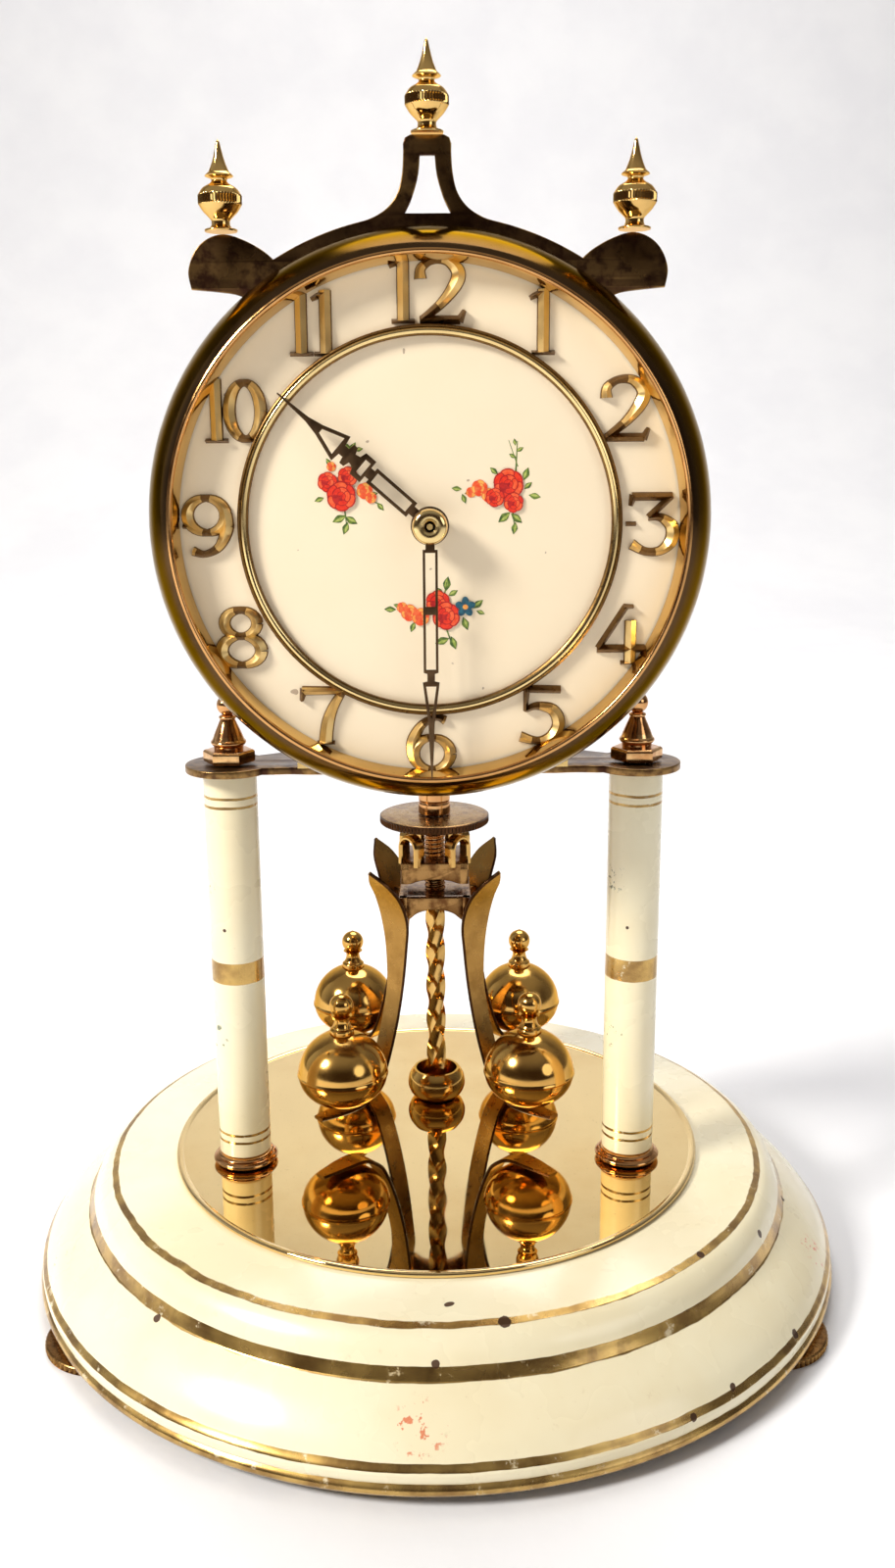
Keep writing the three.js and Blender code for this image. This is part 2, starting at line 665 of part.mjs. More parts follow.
function click() {
  const shape = polygon([
    [-2, -1.6], [1.2, -2], [2.2, -0.4], [1.8, 1.6], [-1.2, 2], [-6.4, 0.4], [-6.2, -0.4],
  ]);
  return join(uprightPlate(shape, 5.9, 7), rodBack(1, 5.8, 8, 10));
}

function minuteWheel() {
  const back = FRONT_PLATE_Y - GAP;
  return cut(join(
    toothed(36, 0.5, heading(MOTION, CENTRE), back - 1.6, back - 0.4, true),
    rodBack(3.1, back - 1.8, back),
    toothed(10, 0.48, gapFacing(10, heading(MOTION, CENTRE)), back - 4.8, back - 1.6),
  ), rodBack(0.9, back - 6, back + 1));
}

function cannonPinion() {
  const back = FRONT_PLATE_Y - GAP;
  return cut(join(
    rodBack(1.55, -44.2, back),
    toothed(12, 0.5, gapFacing(12, heading(CENTRE, MOTION)), back - 1.9, back),
  ), rodBack(1.05, -46, back + 1));
}

function hourWheel() {
  const back = FRONT_PLATE_Y - GAP - 2.6;
  return cut(join(
    toothed(40, 0.48, heading(CENTRE, MOTION), back - 1.2, back, true),
    rodBack(3.2, back - 1.5, back),
    rodBack(2.6, -42.4, back),
  ), rodBack(1.9, -46, back + 1));
}

// ---------- movement frame ----------
function movementPlate(y, holes) {
  const shape = polygon([
    [-PLATE_HALF_WIDTH, PLATE_BOTTOM], [PLATE_HALF_WIDTH, PLATE_BOTTOM],
    [PLATE_HALF_WIDTH, PLATE_TOP - 6], [PLATE_HALF_WIDTH - 8, PLATE_TOP],
    [8 - PLATE_HALF_WIDTH, PLATE_TOP], [-PLATE_HALF_WIDTH, PLATE_TOP - 6],
  ]);
  holes.forEach(([x, z, radius]) => circleHole(shape, x, z, radius, 8));
  return uprightPlate(shape, y, y + PLATE_THICK);
}

function postHoles() {
  return POST_Z.flatMap((z) => [-POST_X, POST_X].map((x) => [x, z, 1.8]));
}

function trainHoles() {
  return [FIRST, SECOND, THIRD, ESCAPE, PALLETS].map(([x, z]) => [x, z, PIVOT_HOLE]);
}

function frontPlate() {
  const plate = movementPlate(FRONT_PLATE_Y, [
    ...postHoles(), ...trainHoles(), [...BARREL, 1.6], [...CENTRE, 1.1],
  ]);
  const stud = rodBack(0.6, FRONT_PLATE_Y - 4.6, FRONT_PLATE_Y + 0.4, 10);
  return join(plate, stud.translate(MOTION[0], 0, MOTION[1]));
}

function backPlate() {
  return movementPlate(BACK_PLATE_Y, [
    ...postHoles(), ...trainHoles(), [...BARREL, 1.9], [...CENTRE, PIVOT_HOLE],
  ]);
}

function movementPost() {
  const inFront = FRONT_PLATE_Y + PLATE_THICK + GAP;
  const inBack = BACK_PLATE_Y - GAP;
  const galleryBack = GALLERY_Y + GALLERY_THICK + GAP;
  return turnedBack([
    [0, galleryBack], [1.5, galleryBack], [1.5, inFront], [2.6, inFront], [2.6, inBack], [1.5, inBack],
    [1.5, BACK_PLATE_Y + PLATE_THICK + GAP], [2.6, BACK_PLATE_Y + PLATE_THICK + GAP],
    [2.2, BACK_PLATE_Y + PLATE_THICK + 1.8], [0, BACK_PLATE_Y + PLATE_THICK + 1.8],
  ], 14);
}

// ---------- suspension ----------
function suspensionBracket() {
  const front = BACK_PLATE_Y + PLATE_THICK + GAP;
  const frame = join(
    block(-10, -8, front, front + 2, 213, 229),
    block(8, 10, front, front + 2, 213, 229),
    block(-10, 10, front, PENDULUM_Y + 5, 227, 229),
  );
  return cut(frame, rodUp(3.4, 220, 235, 16).translate(0, PENDULUM_Y, 0));
}

// Turning the saddle sets the beat. It holds the upper end of the ribbon.
function suspensionSaddle() {
  const body = turnedUp([
    [0, 224.2], [3, 224.2], [3, 229.3], [4.6, 229.3], [4.6, 230.8], [1.6, 232], [0, 232],
  ], 20);
  return join(body, block(-8, -3, -0.8, 0.8, 229.4, 230.6));
}

function suspensionRibbon() {
  return block(-0.8, 0.8, -0.1, 0.1, RIBBON_BOTTOM, RIBBON_TOP - GAP);
}

// Two fingers reach forward on either side of the anchor's wire.
function fork() {
  const z = PALLETS[1] + 9;
  const clamp = block(-2.6, 2.6, -1.6, -0.4, z - 1.6, z + 1.6);
  const fingers = [-1, 1].map((side) => {
    const x = side * 1.62;
    return block(x - 0.4, x + 0.4, -13.2, -1.2, z - 0.4, z + 0.4);
  });
  return join(clamp, ...fingers);
}

function handNut() {
  return turnedBack([
    [1.05, -45.9], [2.2, -45.9], [3, -45.3], [3, -44.3], [1.05, -44.3], [1.05, -45.9],
  ], 20);
}

// ---------- pendulum ----------
function hubTube() {
  const foot = REGULATOR_TOP + GAP;
  return turnedUp([
    [0, foot], [4, foot], [4, foot + 2.5], [3.7, foot + 2.8], [3.95, foot + 3.1], [3.95, 116], [2.6, 116],
    [2.6, 106], [0, 106],
  ], 18);
}

// Thread above, a square block that carries the arms, and a twisted square bar down to the cup.
function pendulumSpindle() {
  const top = LOWER_SPIDER_FOOT + 1;
  const bottom = 33.6;
  const turn = (2 * Math.PI) / 36;
  const half = SPINDLE_RADIUS / Math.SQRT2;
  const reach = LOWER_SPIDER_HALF;
  const square = polygon([[-half, -half], [half, -half], [half, half], [-half, half]]);
  const depth = top - bottom + 1;
  const bar = new THREE.ExtrudeGeometry(square, { depth, steps: 16, bevelEnabled: false });
  bar.translate(0, 0, bottom);
  const at = bar.attributes.position;
  for (let i = 0; i < at.count; i += 1) {
    const a = turn * at.getZ(i);
    const x = at.getX(i);
    const y = at.getY(i);
    at.setXY(i, x * Math.cos(a) - y * Math.sin(a), x * Math.sin(a) + y * Math.cos(a));
  }
  return join(
    bar,
    rodUp(1.3, 31.4, bottom + 1),
    rodUp(SPINDLE_RADIUS, top, REGULATOR_TOP - 0.1, 16),
    block(-reach, reach, -reach, reach, LOWER_SPIDER_FOOT, LOWER_SPIDER_TOP),
  );
}

// The nut's block slides on the thread; a bent loop stands on each of its corners.
function upperSpider() {
  const low = 87.9;
  const high = 93.2;
  const half = UPPER_SPIDER_HALF;
  const arch = new THREE.Shape([
    ...arcPoints(0, 96.5, 3.1, 0, 180, 5), [-3.1, high - 1], [-2.2, high - 1],
    ...arcPoints(0, 96.5, 2.2, 180, 0, 5), [2.2, high - 1], [3.1, high - 1],
  ].map(([x, z]) => new THREE.Vector2(x, z)));
  const loops = [45, 135, 225, 315].map((deg) => {
    const loop = uprightPlate(arch, -1.2, 1.2);
    return loop.rotateZ(THREE.MathUtils.degToRad(deg - 90)).translate(
      8 * Math.cos(THREE.MathUtils.degToRad(deg)), 8 * Math.sin(THREE.MathUtils.degToRad(deg)), 0);
  });
  const bored = block(-half, half, -half, half, low, high);
  return cut(join(bored, ...loops), rodUp(SPINDLE_RADIUS + GAP, 80, 98, 16));
}

function regulatorDisc() {
  const low = REGULATOR_TOP - REGULATOR_THICK;
  const inner = SPINDLE_RADIUS + GAP;
  return turnedUp([
    [inner, low], [REGULATOR_RADIUS - 0.2, low], [REGULATOR_RADIUS, low + 0.3],
    [REGULATOR_RADIUS, REGULATOR_TOP - 0.3], [REGULATOR_RADIUS - 0.3, REGULATOR_TOP],
    [inner, REGULATOR_TOP], [inner, low],
  ], 32);
}

// A strip bent in its upright plane (X outward), with a leaf point at the top and
// its foot turned out under the ball.
function pendulumArm() {
  const half = 0.45;
  const spine = new THREE.CatmullRomCurve3([
    [21.9, 93.1], [18.9, 89.6], [15.8, 85], [13.8, 79], [13.4, 72], [13.9, 63], [15.6, 55],
    [17.8, 48], [20.2, 42.2], [22.5, 38.9], [27, 36.1], [33, 35.7], [41, 36.1],
  ].map(([x, z]) => new THREE.Vector3(x, 0, z)));
  const steps = 18;
  const front = [];
  const back = [];
  for (let i = 0; i <= steps; i += 1) {
    const p = spine.getPoint(i / steps);
    const t = spine.getTangent(i / steps);
    front.push([p.x - t.z * half, p.z + t.x * half]);
    back.push([p.x + t.z * half, p.z - t.x * half]);
  }
  const strip = uprightPlate(polygon([...front, ...back.reverse()]), -5, 5);
  const side = [[2.8, 30], [2.8, 66], [3.6, 72], [4.8, 79], [4.6, 85], [3.2, 89.4], [0.3, 93.7]];
  const leaf = polygon([...side, ...side.slice().reverse().map(([x, z]) => [-x, z])]);
  const face = uprightPlate(leaf, -60, 0).rotateZ(Math.PI / 2);
  return common(strip, face);
}

// Two spun halves of unequal depth meet at a seam; a knob on a flanged neck tops them.
function pendulumBall() {
  const half = (from, to, depth) => arcPoints(0, 0, BALL_RADIUS, from, to, 4)
    .map(([x, z]) => [x, (z * depth) / BALL_RADIUS]);
  const neck = BALL_HEIGHT;
  const knob = [
    [2.8, neck], [2.8, neck + 0.8], [2, neck + 1.4], [2, neck + 3.9], [2.7, neck + 6.8],
    [1.7, neck + 9.2], [0, neck + 9.8],
  ];
  return turnedUp([
    [0, -BALL_DEPTH], ...half(-78, -10, BALL_DEPTH), [BALL_RADIUS + 0.2, 0],
    ...half(10, 74, BALL_HEIGHT), ...knob,
  ], 16);
}

// ---------- assembly ----------
add('base_shell', baseShell(), 'enamel');
add('mirror_disc', mirrorDisc(), 'brass');
add('pendulum_cup', pendulumCup(), 'brass', 0, PENDULUM_Y);
['left', 'right', 'rear'].forEach((name, i) => {
  const [x, y] = screwPlaces()[i];
  add(`levelling_screw_${name}`, levellingScrew(), 'oldBrass', x, y);
});
[['left', -1], ['right', 1]].forEach(([name, side]) => {
  add(`pillar_${name}`, pillar(), 'enamel', side * PILLAR_X, PILLAR_Y);
  add(`pillar_collar_${name}`, pillarCollar(), 'brass', side * PILLAR_X, PILLAR_Y);
  add(`pillar_finial_${name}`, pillarFinial(), 'bronze', side * PILLAR_X, PILLAR_Y);
});
add('platform', platform(), 'bronze');

add('front_plate', frontPlate(), 'brass');
add('back_plate', backPlate(), 'brass');
POST_Z.forEach((z, row) => [-1, 1].forEach((side, column) => {
  const name = `movement_post_${['lower', 'upper'][row]}_${['left', 'right'][column]}`;
  add(name, movementPost(), 'brass', side * POST_X, 0, z);
}));
add('gallery_plate', galleryPlate(), 'bronze');
[['left', -SIDE_FINIAL_X, SIDE_FINIAL_Z], ['centre', 0, LYRE_TOP_Z], ['right', SIDE_FINIAL_X, SIDE_FINIAL_Z]]
  .forEach(([name, x, z]) => {
    add(`top_finial_${name}`, topFinial(), 'brass', x, GALLERY_Y + GALLERY_THICK / 2, z);
  });
add('bezel', bezel(), 'bronze', 0, 0, DIAL_Z);
add('dial_plate', dialPlate(), 'dial', 0, 0, DIAL_Z);
add('chapter_ring', chapterRing(), 'brass', 0, 0, DIAL_Z);

const MINUTE_ANGLE = Math.PI;                       // pointing at six
const HOUR_ANGLE = THREE.MathUtils.degToRad(311);   // between ten and eleven
add('centre_arbor', centreArbor(), 'brass', CENTRE[0], 0, CENTRE[1]);
add('cannon_pinion', cannonPinion(), 'steel', CENTRE[0], 0, CENTRE[1]);
add('minute_hand', minuteHand(), 'bronze', CENTRE[0], 0, CENTRE[1]).rotation.y = MINUTE_ANGLE;
add('hand_nut', handNut(), 'brass', CENTRE[0], 0, CENTRE[1]);
add('hour_wheel', hourWheel(), 'brass', CENTRE[0], 0, CENTRE[1]);
add('hour_hand', hourHand(), 'bronze', CENTRE[0], 0, CENTRE[1]).rotation.y = HOUR_ANGLE;
add('minute_wheel', minuteWheel(), 'brass', MOTION[0], 0, MOTION[1]);
add('barrel', barrel(), 'brass', BARREL[0], 0, BARREL[1]);
add('mainspring', mainspring(), 'steel', BARREL[0], 0, BARREL[1]);
add('barrel_arbor', barrelArbor(), 'steel', BARREL[0], 0, BARREL[1]);
add('click', click(), 'steel', BARREL[0] + 13.6, 0, BARREL[1]);
add('intermediate_wheel_first', firstWheel(), 'brass', FIRST[0], 0, FIRST[1]);
add('intermediate_wheel_second', secondWheel(), 'brass', SECOND[0], 0, SECOND[1]);
add('third_wheel', thirdWheel(), 'brass', THIRD[0], 0, THIRD[1]);
add('escape_wheel', escapeWheel(), 'brass', ESCAPE[0], 0, ESCAPE[1]);
add('anchor', anchor(), 'steel', PALLETS[0], 0, PALLETS[1]);

add('suspension_bracket', suspensionBracket(), 'brass');
add('suspension_saddle', suspensionSaddle(), 'brass', 0, PENDULUM_Y);
add('suspension_ribbon', suspensionRibbon(), 'steel', 0, PENDULUM_Y);
add('fork', fork(), 'brass', 0, PENDULUM_Y);
add('bottom_block', block(-1.7, 1.7, -0.9, 0.9, 106.6, RIBBON_BOTTOM - GAP), 'brass', 0, PENDULUM_Y);
add('hub_tube', hubTube(), 'oldBrass', 0, PENDULUM_Y);
add('regulator_disc', regulatorDisc(), 'oldBrass', 0, PENDULUM_Y);
add('pendulum_spindle', pendulumSpindle(), 'oldBrass', 0, PENDULUM_Y);
add('upper_spider', upperSpider(), 'oldBrass', 0, PENDULUM_Y);
['rear_right', 'rear_left', 'front_left', 'front_right'].forEach((name, i) => {
  const angle = Math.PI / 4 + (i * Math.PI) / 2;
  add(`arm_${name}`, pendulumArm(), 'oldBrass', 0, PENDULUM_Y).rotation.z = angle;
  const x = BALL_CIRCLE * Math.cos(angle);
  const y = PENDULUM_Y + BALL_CIRCLE * Math.sin(angle);
  add(`ball_${name}`, pendulumBall(), 'brass', x, y, BALL_Z);
});

export default clock;
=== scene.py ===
"""The looks of the anniversary clock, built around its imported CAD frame.

Sizes are in millimetres until a mesh is made.
"""
import json
import math
from types import SimpleNamespace

import bmesh
import bpy
from mathutils import Matrix, Vector


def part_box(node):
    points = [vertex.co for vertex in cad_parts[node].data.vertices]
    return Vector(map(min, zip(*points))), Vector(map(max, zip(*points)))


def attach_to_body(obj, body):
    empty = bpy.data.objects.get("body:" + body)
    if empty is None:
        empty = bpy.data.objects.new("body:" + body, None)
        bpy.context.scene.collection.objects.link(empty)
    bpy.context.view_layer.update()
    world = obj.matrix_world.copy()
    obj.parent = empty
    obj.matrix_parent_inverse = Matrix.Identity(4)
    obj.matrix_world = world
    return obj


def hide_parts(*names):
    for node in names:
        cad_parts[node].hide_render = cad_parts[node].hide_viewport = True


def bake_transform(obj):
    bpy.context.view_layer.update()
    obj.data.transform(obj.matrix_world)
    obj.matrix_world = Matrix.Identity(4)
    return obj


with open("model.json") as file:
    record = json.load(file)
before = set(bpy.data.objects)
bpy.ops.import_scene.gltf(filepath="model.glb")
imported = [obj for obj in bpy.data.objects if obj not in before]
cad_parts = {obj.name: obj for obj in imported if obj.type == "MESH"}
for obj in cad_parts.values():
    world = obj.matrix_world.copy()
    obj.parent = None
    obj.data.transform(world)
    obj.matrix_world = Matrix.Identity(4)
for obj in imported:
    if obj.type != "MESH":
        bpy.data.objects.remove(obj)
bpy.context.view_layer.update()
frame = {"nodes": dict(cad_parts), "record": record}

MM = 0.001
RECORD = frame["record"]
BODY_OF = {node: body for body, nodes in RECORD["behaviour"]["bodies"].items() for node in nodes}
SLOT_OF = {part["node"]: part["material_slot"] for part in RECORD["subparts"]}


def place(node):
    """Where a CAD node is, in millimetres."""
    low, high = (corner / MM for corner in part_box(node))
    middle, radius = (low + high) / 2, (high.x - low.x) / 2
    return SimpleNamespace(low=low, high=high, x=middle.x, y=middle.y, z=middle.z, radius=radius,
                           plan=(middle.x, middle.y, 0), face=(middle.x, 0, middle.z))


def dress(piece, *nodes):
    """The piece stands for these CAD nodes and moves with the first one's body."""
    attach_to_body(piece, BODY_OF[nodes[0]])
    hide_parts(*nodes)
    return piece


def attach(piece, node):
    """The piece moves with that node's body and stands for no node."""
    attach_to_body(piece, BODY_OF[node])
    return piece


# ---------- outlines ----------
def arc(cx, cy, radius, start, end, steps, squeeze=1.0):
    """Points on an arc from start to end degrees; squeeze scales it along its second axis."""
    points = []
    for i in range(steps + 1):
        a = math.radians(start + (end - start) * i / steps)
        points.append((cx + radius * math.cos(a), cy + radius * squeeze * math.sin(a)))
    return points


def spline(points, steps=6):
    """A smooth line through the points, with any number of values in each."""
    smooth = []
    last = len(points) - 1
    for i in range(last):
        before, here = points[max(i - 1, 0)], points[i]
        there, after = points[i + 1], points[min(i + 2, last)]
        for s in range(steps):
            t = s / steps
            smooth.append(tuple(
                0.5 * (2 * b + (c - a) * t
                       + (2 * a - 5 * b + 4 * c - d) * t * t
                       + (3 * b - a - 3 * c + d) * t ** 3)
                for a, b, c, d in zip(before, here, there, after)))
    smooth.append(tuple(points[last]))
    return smooth


def rounded(points, radius=0.25, steps=3, sharp=25):
    """The same outline with its sharp corners rounded off."""
    result = [points[0]]
    for before, here, after in zip(points, points[1:], points[2:]):
        back, on = Vector(before) - Vector(here), Vector(after) - Vector(here)
        if back.length < 1e-6 or on.length < 1e-6 or math.degrees(math.pi - back.angle(on)) < sharp:
            result.append(here)
            continue
        start = Vector(here) + back.normalized() * min(radius, back.length * 0.45)
        end = Vector(here) + on.normalized() * min(radius, on.length * 0.45)
        for s in range(steps + 1):
            t = s / steps
            result.append(tuple(start * (1 - t) ** 2 + Vector(here) * 2 * t * (1 - t) + end * t ** 2))
    result.append(points[-1])
    return result


def shifted(x, y, points):
    """The points moved by x and y: a profile drawn from its rim and its foot."""
    return [(x + u, y + v) for u, v in points]


def mirrored(points):
    """A right-hand outline followed by its mirror image on the left."""
    return list(points) + [(-x, z) for x, z in reversed(points)]


# ---------- meshes ----------
def into_scene(name, data):
    made = bpy.data.objects.new(name, data)
    bpy.context.scene.collection.objects.link(made)
    return made


def make_mesh(name, corners, faces, materials, slots=None, smooth=40):
    """A mesh object from corners in millimetres. slots gives each face's material."""
    mesh = bpy.data.meshes.new(name)
    mesh.from_pydata([Vector(c) * MM for c in corners], [], faces)
    for material in materials:
        mesh.materials.append(material)
    if slots:
        mesh.polygons.foreach_set("material_index", slots)
    work = bmesh.new()
    work.from_mesh(mesh)
    bmesh.ops.recalc_face_normals(work, faces=work.faces)
    work.to_mesh(mesh)
    work.free()
    mesh.shade_smooth()
    mesh.set_sharp_from_angle(angle=math.radians(smooth))
    return into_scene(name, mesh)


def lathe(name, profile, materials, centre=(0, 0, 0), axis="Z", around=96, knurl=None, paint=None, smooth=40):
    """Turns a profile of (radius, height) about an upright axis, or one that runs front to back.

    knurl(radius, height, angle) adds to the radius, and paint(radius, height) picks a material.
    """
    corners, rows, faces, slots = [], [], [], []
    for radius, height in profile:
        row = []
        for k in range(around):
            if radius < 1e-6 and row:
                row.append(row[0])
                continue
            a = 2 * math.pi * k / around
            r = radius + (knurl(radius, height, a) if knurl else 0)
            u, v = r * math.cos(a), r * math.sin(a)
            local = (u, v, height) if axis == "Z" else (u, height, v)
            row.append(len(corners))
            corners.append(Vector(local) + Vector(centre))
        rows.append(row)
    if Vector(profile[0]) == Vector(profile[-1]) and profile[0][0] > 1e-6:
        rows[-1] = rows[0]
    for i in range(len(rows) - 1):
        radius, height = (Vector(profile[i]) + Vector(profile[i + 1])) / 2
        for k in range(around):
            n = (k + 1) % around
            face = list(dict.fromkeys((rows[i][k], rows[i][n], rows[i + 1][n], rows[i + 1][k])))
            if len(face) > 2:
                faces.append(face)
                slots.append(paint(radius, height) if paint else 0)
    return make_mesh(name, corners, faces, materials, slots, smooth)


def loft(name, rings, materials, smooth=40):
    """A closed skin over rings of equal length, with a cap at each end."""
    corners = [point for ring in rings for point in ring]
    count = len(rings[0])
    faces = [list(range(count)), list(range(len(corners) - count, len(corners)))]
    for i in range(len(rings) - 1):
        for k in range(count):
            n = (k + 1) % count
            faces.append([i * count + k, i * count + n, (i + 1) * count + n, (i + 1) * count + k])
    return make_mesh(name, corners, faces, materials, smooth=smooth)


def strip(name, spine, across, widths, thick, materials):
    """A flat bar along a spine; across is the direction of its width, and its edges are rounded."""
    rings = []
    for i, point in enumerate(spine):
        ahead = Vector(spine[min(i + 1, len(spine) - 1)]) - Vector(spine[max(i - 1, 0)])
        side = Vector(across).normalized()
        out = ahead.cross(side).normalized()
        half, edge = widths[i] / 2, thick / 2
        soft = min(edge * 0.7, half * 0.4)
        section = [(-half, -edge + soft), (-half + soft, -edge), (half - soft, -edge), (half, -edge + soft),
                   (half, edge - soft), (half - soft, edge), (-half + soft, edge), (-half, edge - soft)]
        rings.append([Vector(point) + side * u + out * v for u, v in section])
    return loft(name, rings, materials)


def plate(name, outlines, low, high, materials, soft=0.15, upright=True):
    """A flat plate from closed outlines, the inner ones being holes, with softly rounded edges.

    An upright one is drawn in X and Z and lies between two Y values; a level one in X and Y.
    """
    drawn = bpy.data.curves.new(name, "CURVE")
    drawn.dimensions = "2D"
    drawn.fill_mode = "BOTH"
    drawn.bevel_depth = soft * MM
    drawn.bevel_resolution = 2
    drawn.offset = -soft * MM
    drawn.extrude = ((high - low) / 2 - soft) * MM
    for outline in outlines:
        line = drawn.splines.new("POLY")
        line.points.add(len(outline) - 1)
        for point, (u, v) in zip(line.points, outline):
            point.co = (u * MM, v * MM, 0, 1)
        line.use_cyclic_u = True
    holder = into_scene(name, drawn)
    bpy.context.view_layer.update()
    mesh = bpy.data.meshes.new_from_object(holder.evaluated_get(bpy.context.evaluated_depsgraph_get()))
    bpy.data.objects.remove(holder)
    middle = (low + high) / 2 * MM
    if upright:
        mesh.transform(Matrix.Translation((0, middle, 0)) @ Matrix.Rotation(math.pi / 2, 4, "X"))
    else:
        mesh.transform(Matrix.Translation((0, 0, middle)))
    work = bmesh.new()
    work.from_mesh(mesh)
    bmesh.ops.remove_doubles(work, verts=work.verts, dist=1e-6)
    bmesh.ops.recalc_face_normals(work, faces=work.faces)
    work.to_mesh(mesh)
    work.free()
    mesh.materials.clear()
    for material in materials:
        mesh.materials.append(material)
    mesh.shade_smooth()
    mesh.set_sharp_from_angle(angle=math.radians(35))
    return into_scene(name, mesh)


def join(name, pieces):
    """Joins pieces into one object, keeping each one's materials."""
    work = bmesh.new()
    materials = []
    for piece in pieces:
        piece.data.transform(piece.matrix_world)
        shift = {}
        for i, material in enumerate(piece.data.materials):
            if material not in materials:
                materials.append(material)
            shift[i] = materials.index(material)
        for face in piece.data.polygons:
            face.material_index = shift.get(face.material_index, 0)
        work.from_mesh(piece.data)
        bpy.data.objects.remove(piece)
    mesh = bpy.data.meshes.new(name)
    work.to_mesh(mesh)
    work.free()
    for material in materials:
        mesh.materials.append(material)
    return into_scene(name, mesh)


def turned(piece, degrees, axis, centre):
    """Turns a fresh piece's mesh about an axis through centre."""
    spot = Vector(centre) * MM
    turn = Matrix.Rotation(math.radians(degrees), 4, axis)
    piece.data.transform(Matrix.Translation(spot) @ turn @ Matrix.Translation(-spot))
    return piece


def knurled(count, depth, low, high):
    """Fine upright ridges between two heights."""
    def ridge(radius, height, angle):
        return depth * (abs((angle * count / math.pi) % 2 - 1) - 1) if low <= height <= high else 0
    return ridge


# ---------- shader helpers ----------
def put(tree, socket, value):
    if isinstance(value, bpy.types.NodeSocket):
        tree.links.new(value, socket)
    elif hasattr(value, "__len__") and len(value) == 3 and socket.type == "RGBA":
        socket.default_value = (*value, 1)
    else:
        socket.default_value = value


def add_node(tree, kind, values, **settings):
    made = tree.nodes.new("ShaderNode" + kind)
    for key, value in settings.items():
        setattr(made, key, value)
    for key, value in values.items():
        put(tree, made.inputs[key], value)
    return made


def point_of(tree):
    return add_node(tree, "TexCoord", {}).outputs["Object"]


def scaled(tree, point, factors):
    return add_node(tree, "VectorMath", {0: point, 1: factors}, operation="MULTIPLY").outputs[0]


def noise(tree, point, scale, detail=3.0, rough=0.55):
    values = {"Vector": point, "Scale": scale, "Detail": detail, "Roughness": rough}
    return add_node(tree, "TexNoise", values).outputs["Fac"]


def ease(tree, value, low, high, to_low=0.0, to_high=1.0):
    """Carries low..high to to_low..to_high smoothly, and stays there beyond."""
    values = {"Value": value, "From Min": low, "From Max": high, "To Min": to_low, "To Max": to_high}
    return add_node(tree, "MapRange", values, interpolation_type="SMOOTHSTEP").outputs["Result"]


def maths(tree, operation, a, b=0.0):
    return add_node(tree, "Math", {0: a, 1: b}, operation=operation).outputs[0]


def blend(tree, factor, a, b):
    made = add_node(tree, "Mix", {0: factor}, data_type="RGBA")
    put(tree, made.inputs[6], a)
    put(tree, made.inputs[7], b)
    return made.outputs[2]


def bump(tree, height, distance, strength=1.0):
    values = {"Height": height, "Distance": distance * MM, "Strength": strength}
    return add_node(tree, "Bump", values).outputs["Normal"]


def axes_of(tree, point):
    return add_node(tree, "SeparateXYZ", {0: point}).outputs


def new_material(name):
    material = bpy.data.materials.new(name)
    material.use_nodes = True
    tree = material.node_tree
    return material, tree, tree.nodes["Principled BSDF"]


# ---------- materials ----------
def metal(name, bright, dull, gloss=0.16, haze=0.16, tarnish=0.5, cloud=90, scratch=(1, 1, 1),
          worn_edges=None, relief=0.4, glance=(1, 1, 1)):
    """Brass or bronze: clouded tarnish, dark specks, fine scratches along one direction, worn or dark edges.

    glance is the tint where the surface is seen at a low angle.
    """
    material, tree, shader = new_material(name)
    point = point_of(tree)
    clouds = noise(tree, point, cloud, 5, 0.6)
    specks = ease(tree, noise(tree, point, 1400, 2, 0.7), 0.66, 0.76)
    patches = ease(tree, clouds, 0.42, 0.72, 0, tarnish)
    color = blend(tree, patches, bright, dull)
    color = blend(tree, maths(tree, "MULTIPLY", specks, 0.6 * tarnish), color, tuple(c * 0.35 for c in dull))
    if worn_edges:
        edge = add_node(tree, "NewGeometry", {}).outputs["Pointiness"]
        patchy = ease(tree, noise(tree, point, 400, 3), 0.3, 0.6)
        edge = maths(tree, "MULTIPLY", ease(tree, edge, 0.505, 0.56), patchy)
        color = blend(tree, edge, color, worn_edges)
    lines = noise(tree, scaled(tree, point, scratch), 900, 2, 0.5)
    rough = ease(tree, noise(tree, point, cloud * 2.3, 4), 0.3, 0.75, gloss, gloss + haze)
    put(tree, shader.inputs["Base Color"], color)
    put(tree, shader.inputs["Metallic"], 1.0)
    put(tree, shader.inputs["Specular Tint"], glance)
    put(tree, shader.inputs["Roughness"], rough)
    put(tree, shader.inputs["Normal"], bump(tree, lines, 0.012, relief))
    return material


def stripe_mask(tree, height, stripes, wander):
    """1 inside any of the (low, high) heights in millimetres, with slightly wandering edges."""
    mask = 0.0
    moved = maths(tree, "ADD", height, wander)
    for low, high in stripes:
        soft = 0.06 * MM
        inside = maths(tree, "MULTIPLY",
                       ease(tree, moved, low * MM - soft, low * MM + soft),
                       ease(tree, moved, high * MM - soft, high * MM + soft, 1, 0))
        mask = maths(tree, "MAXIMUM", mask, inside)
    return mask


def near(tree, point, centre, reach):
    """1 at a point of the object, falling to 0 at the given reach, both in millimetres."""
    away = add_node(tree, "VectorMath", {0: point, 1: Vector(centre) * MM},
                    operation="DISTANCE").outputs["Value"]
    return ease(tree, away, 0, reach * MM, 1, 0)


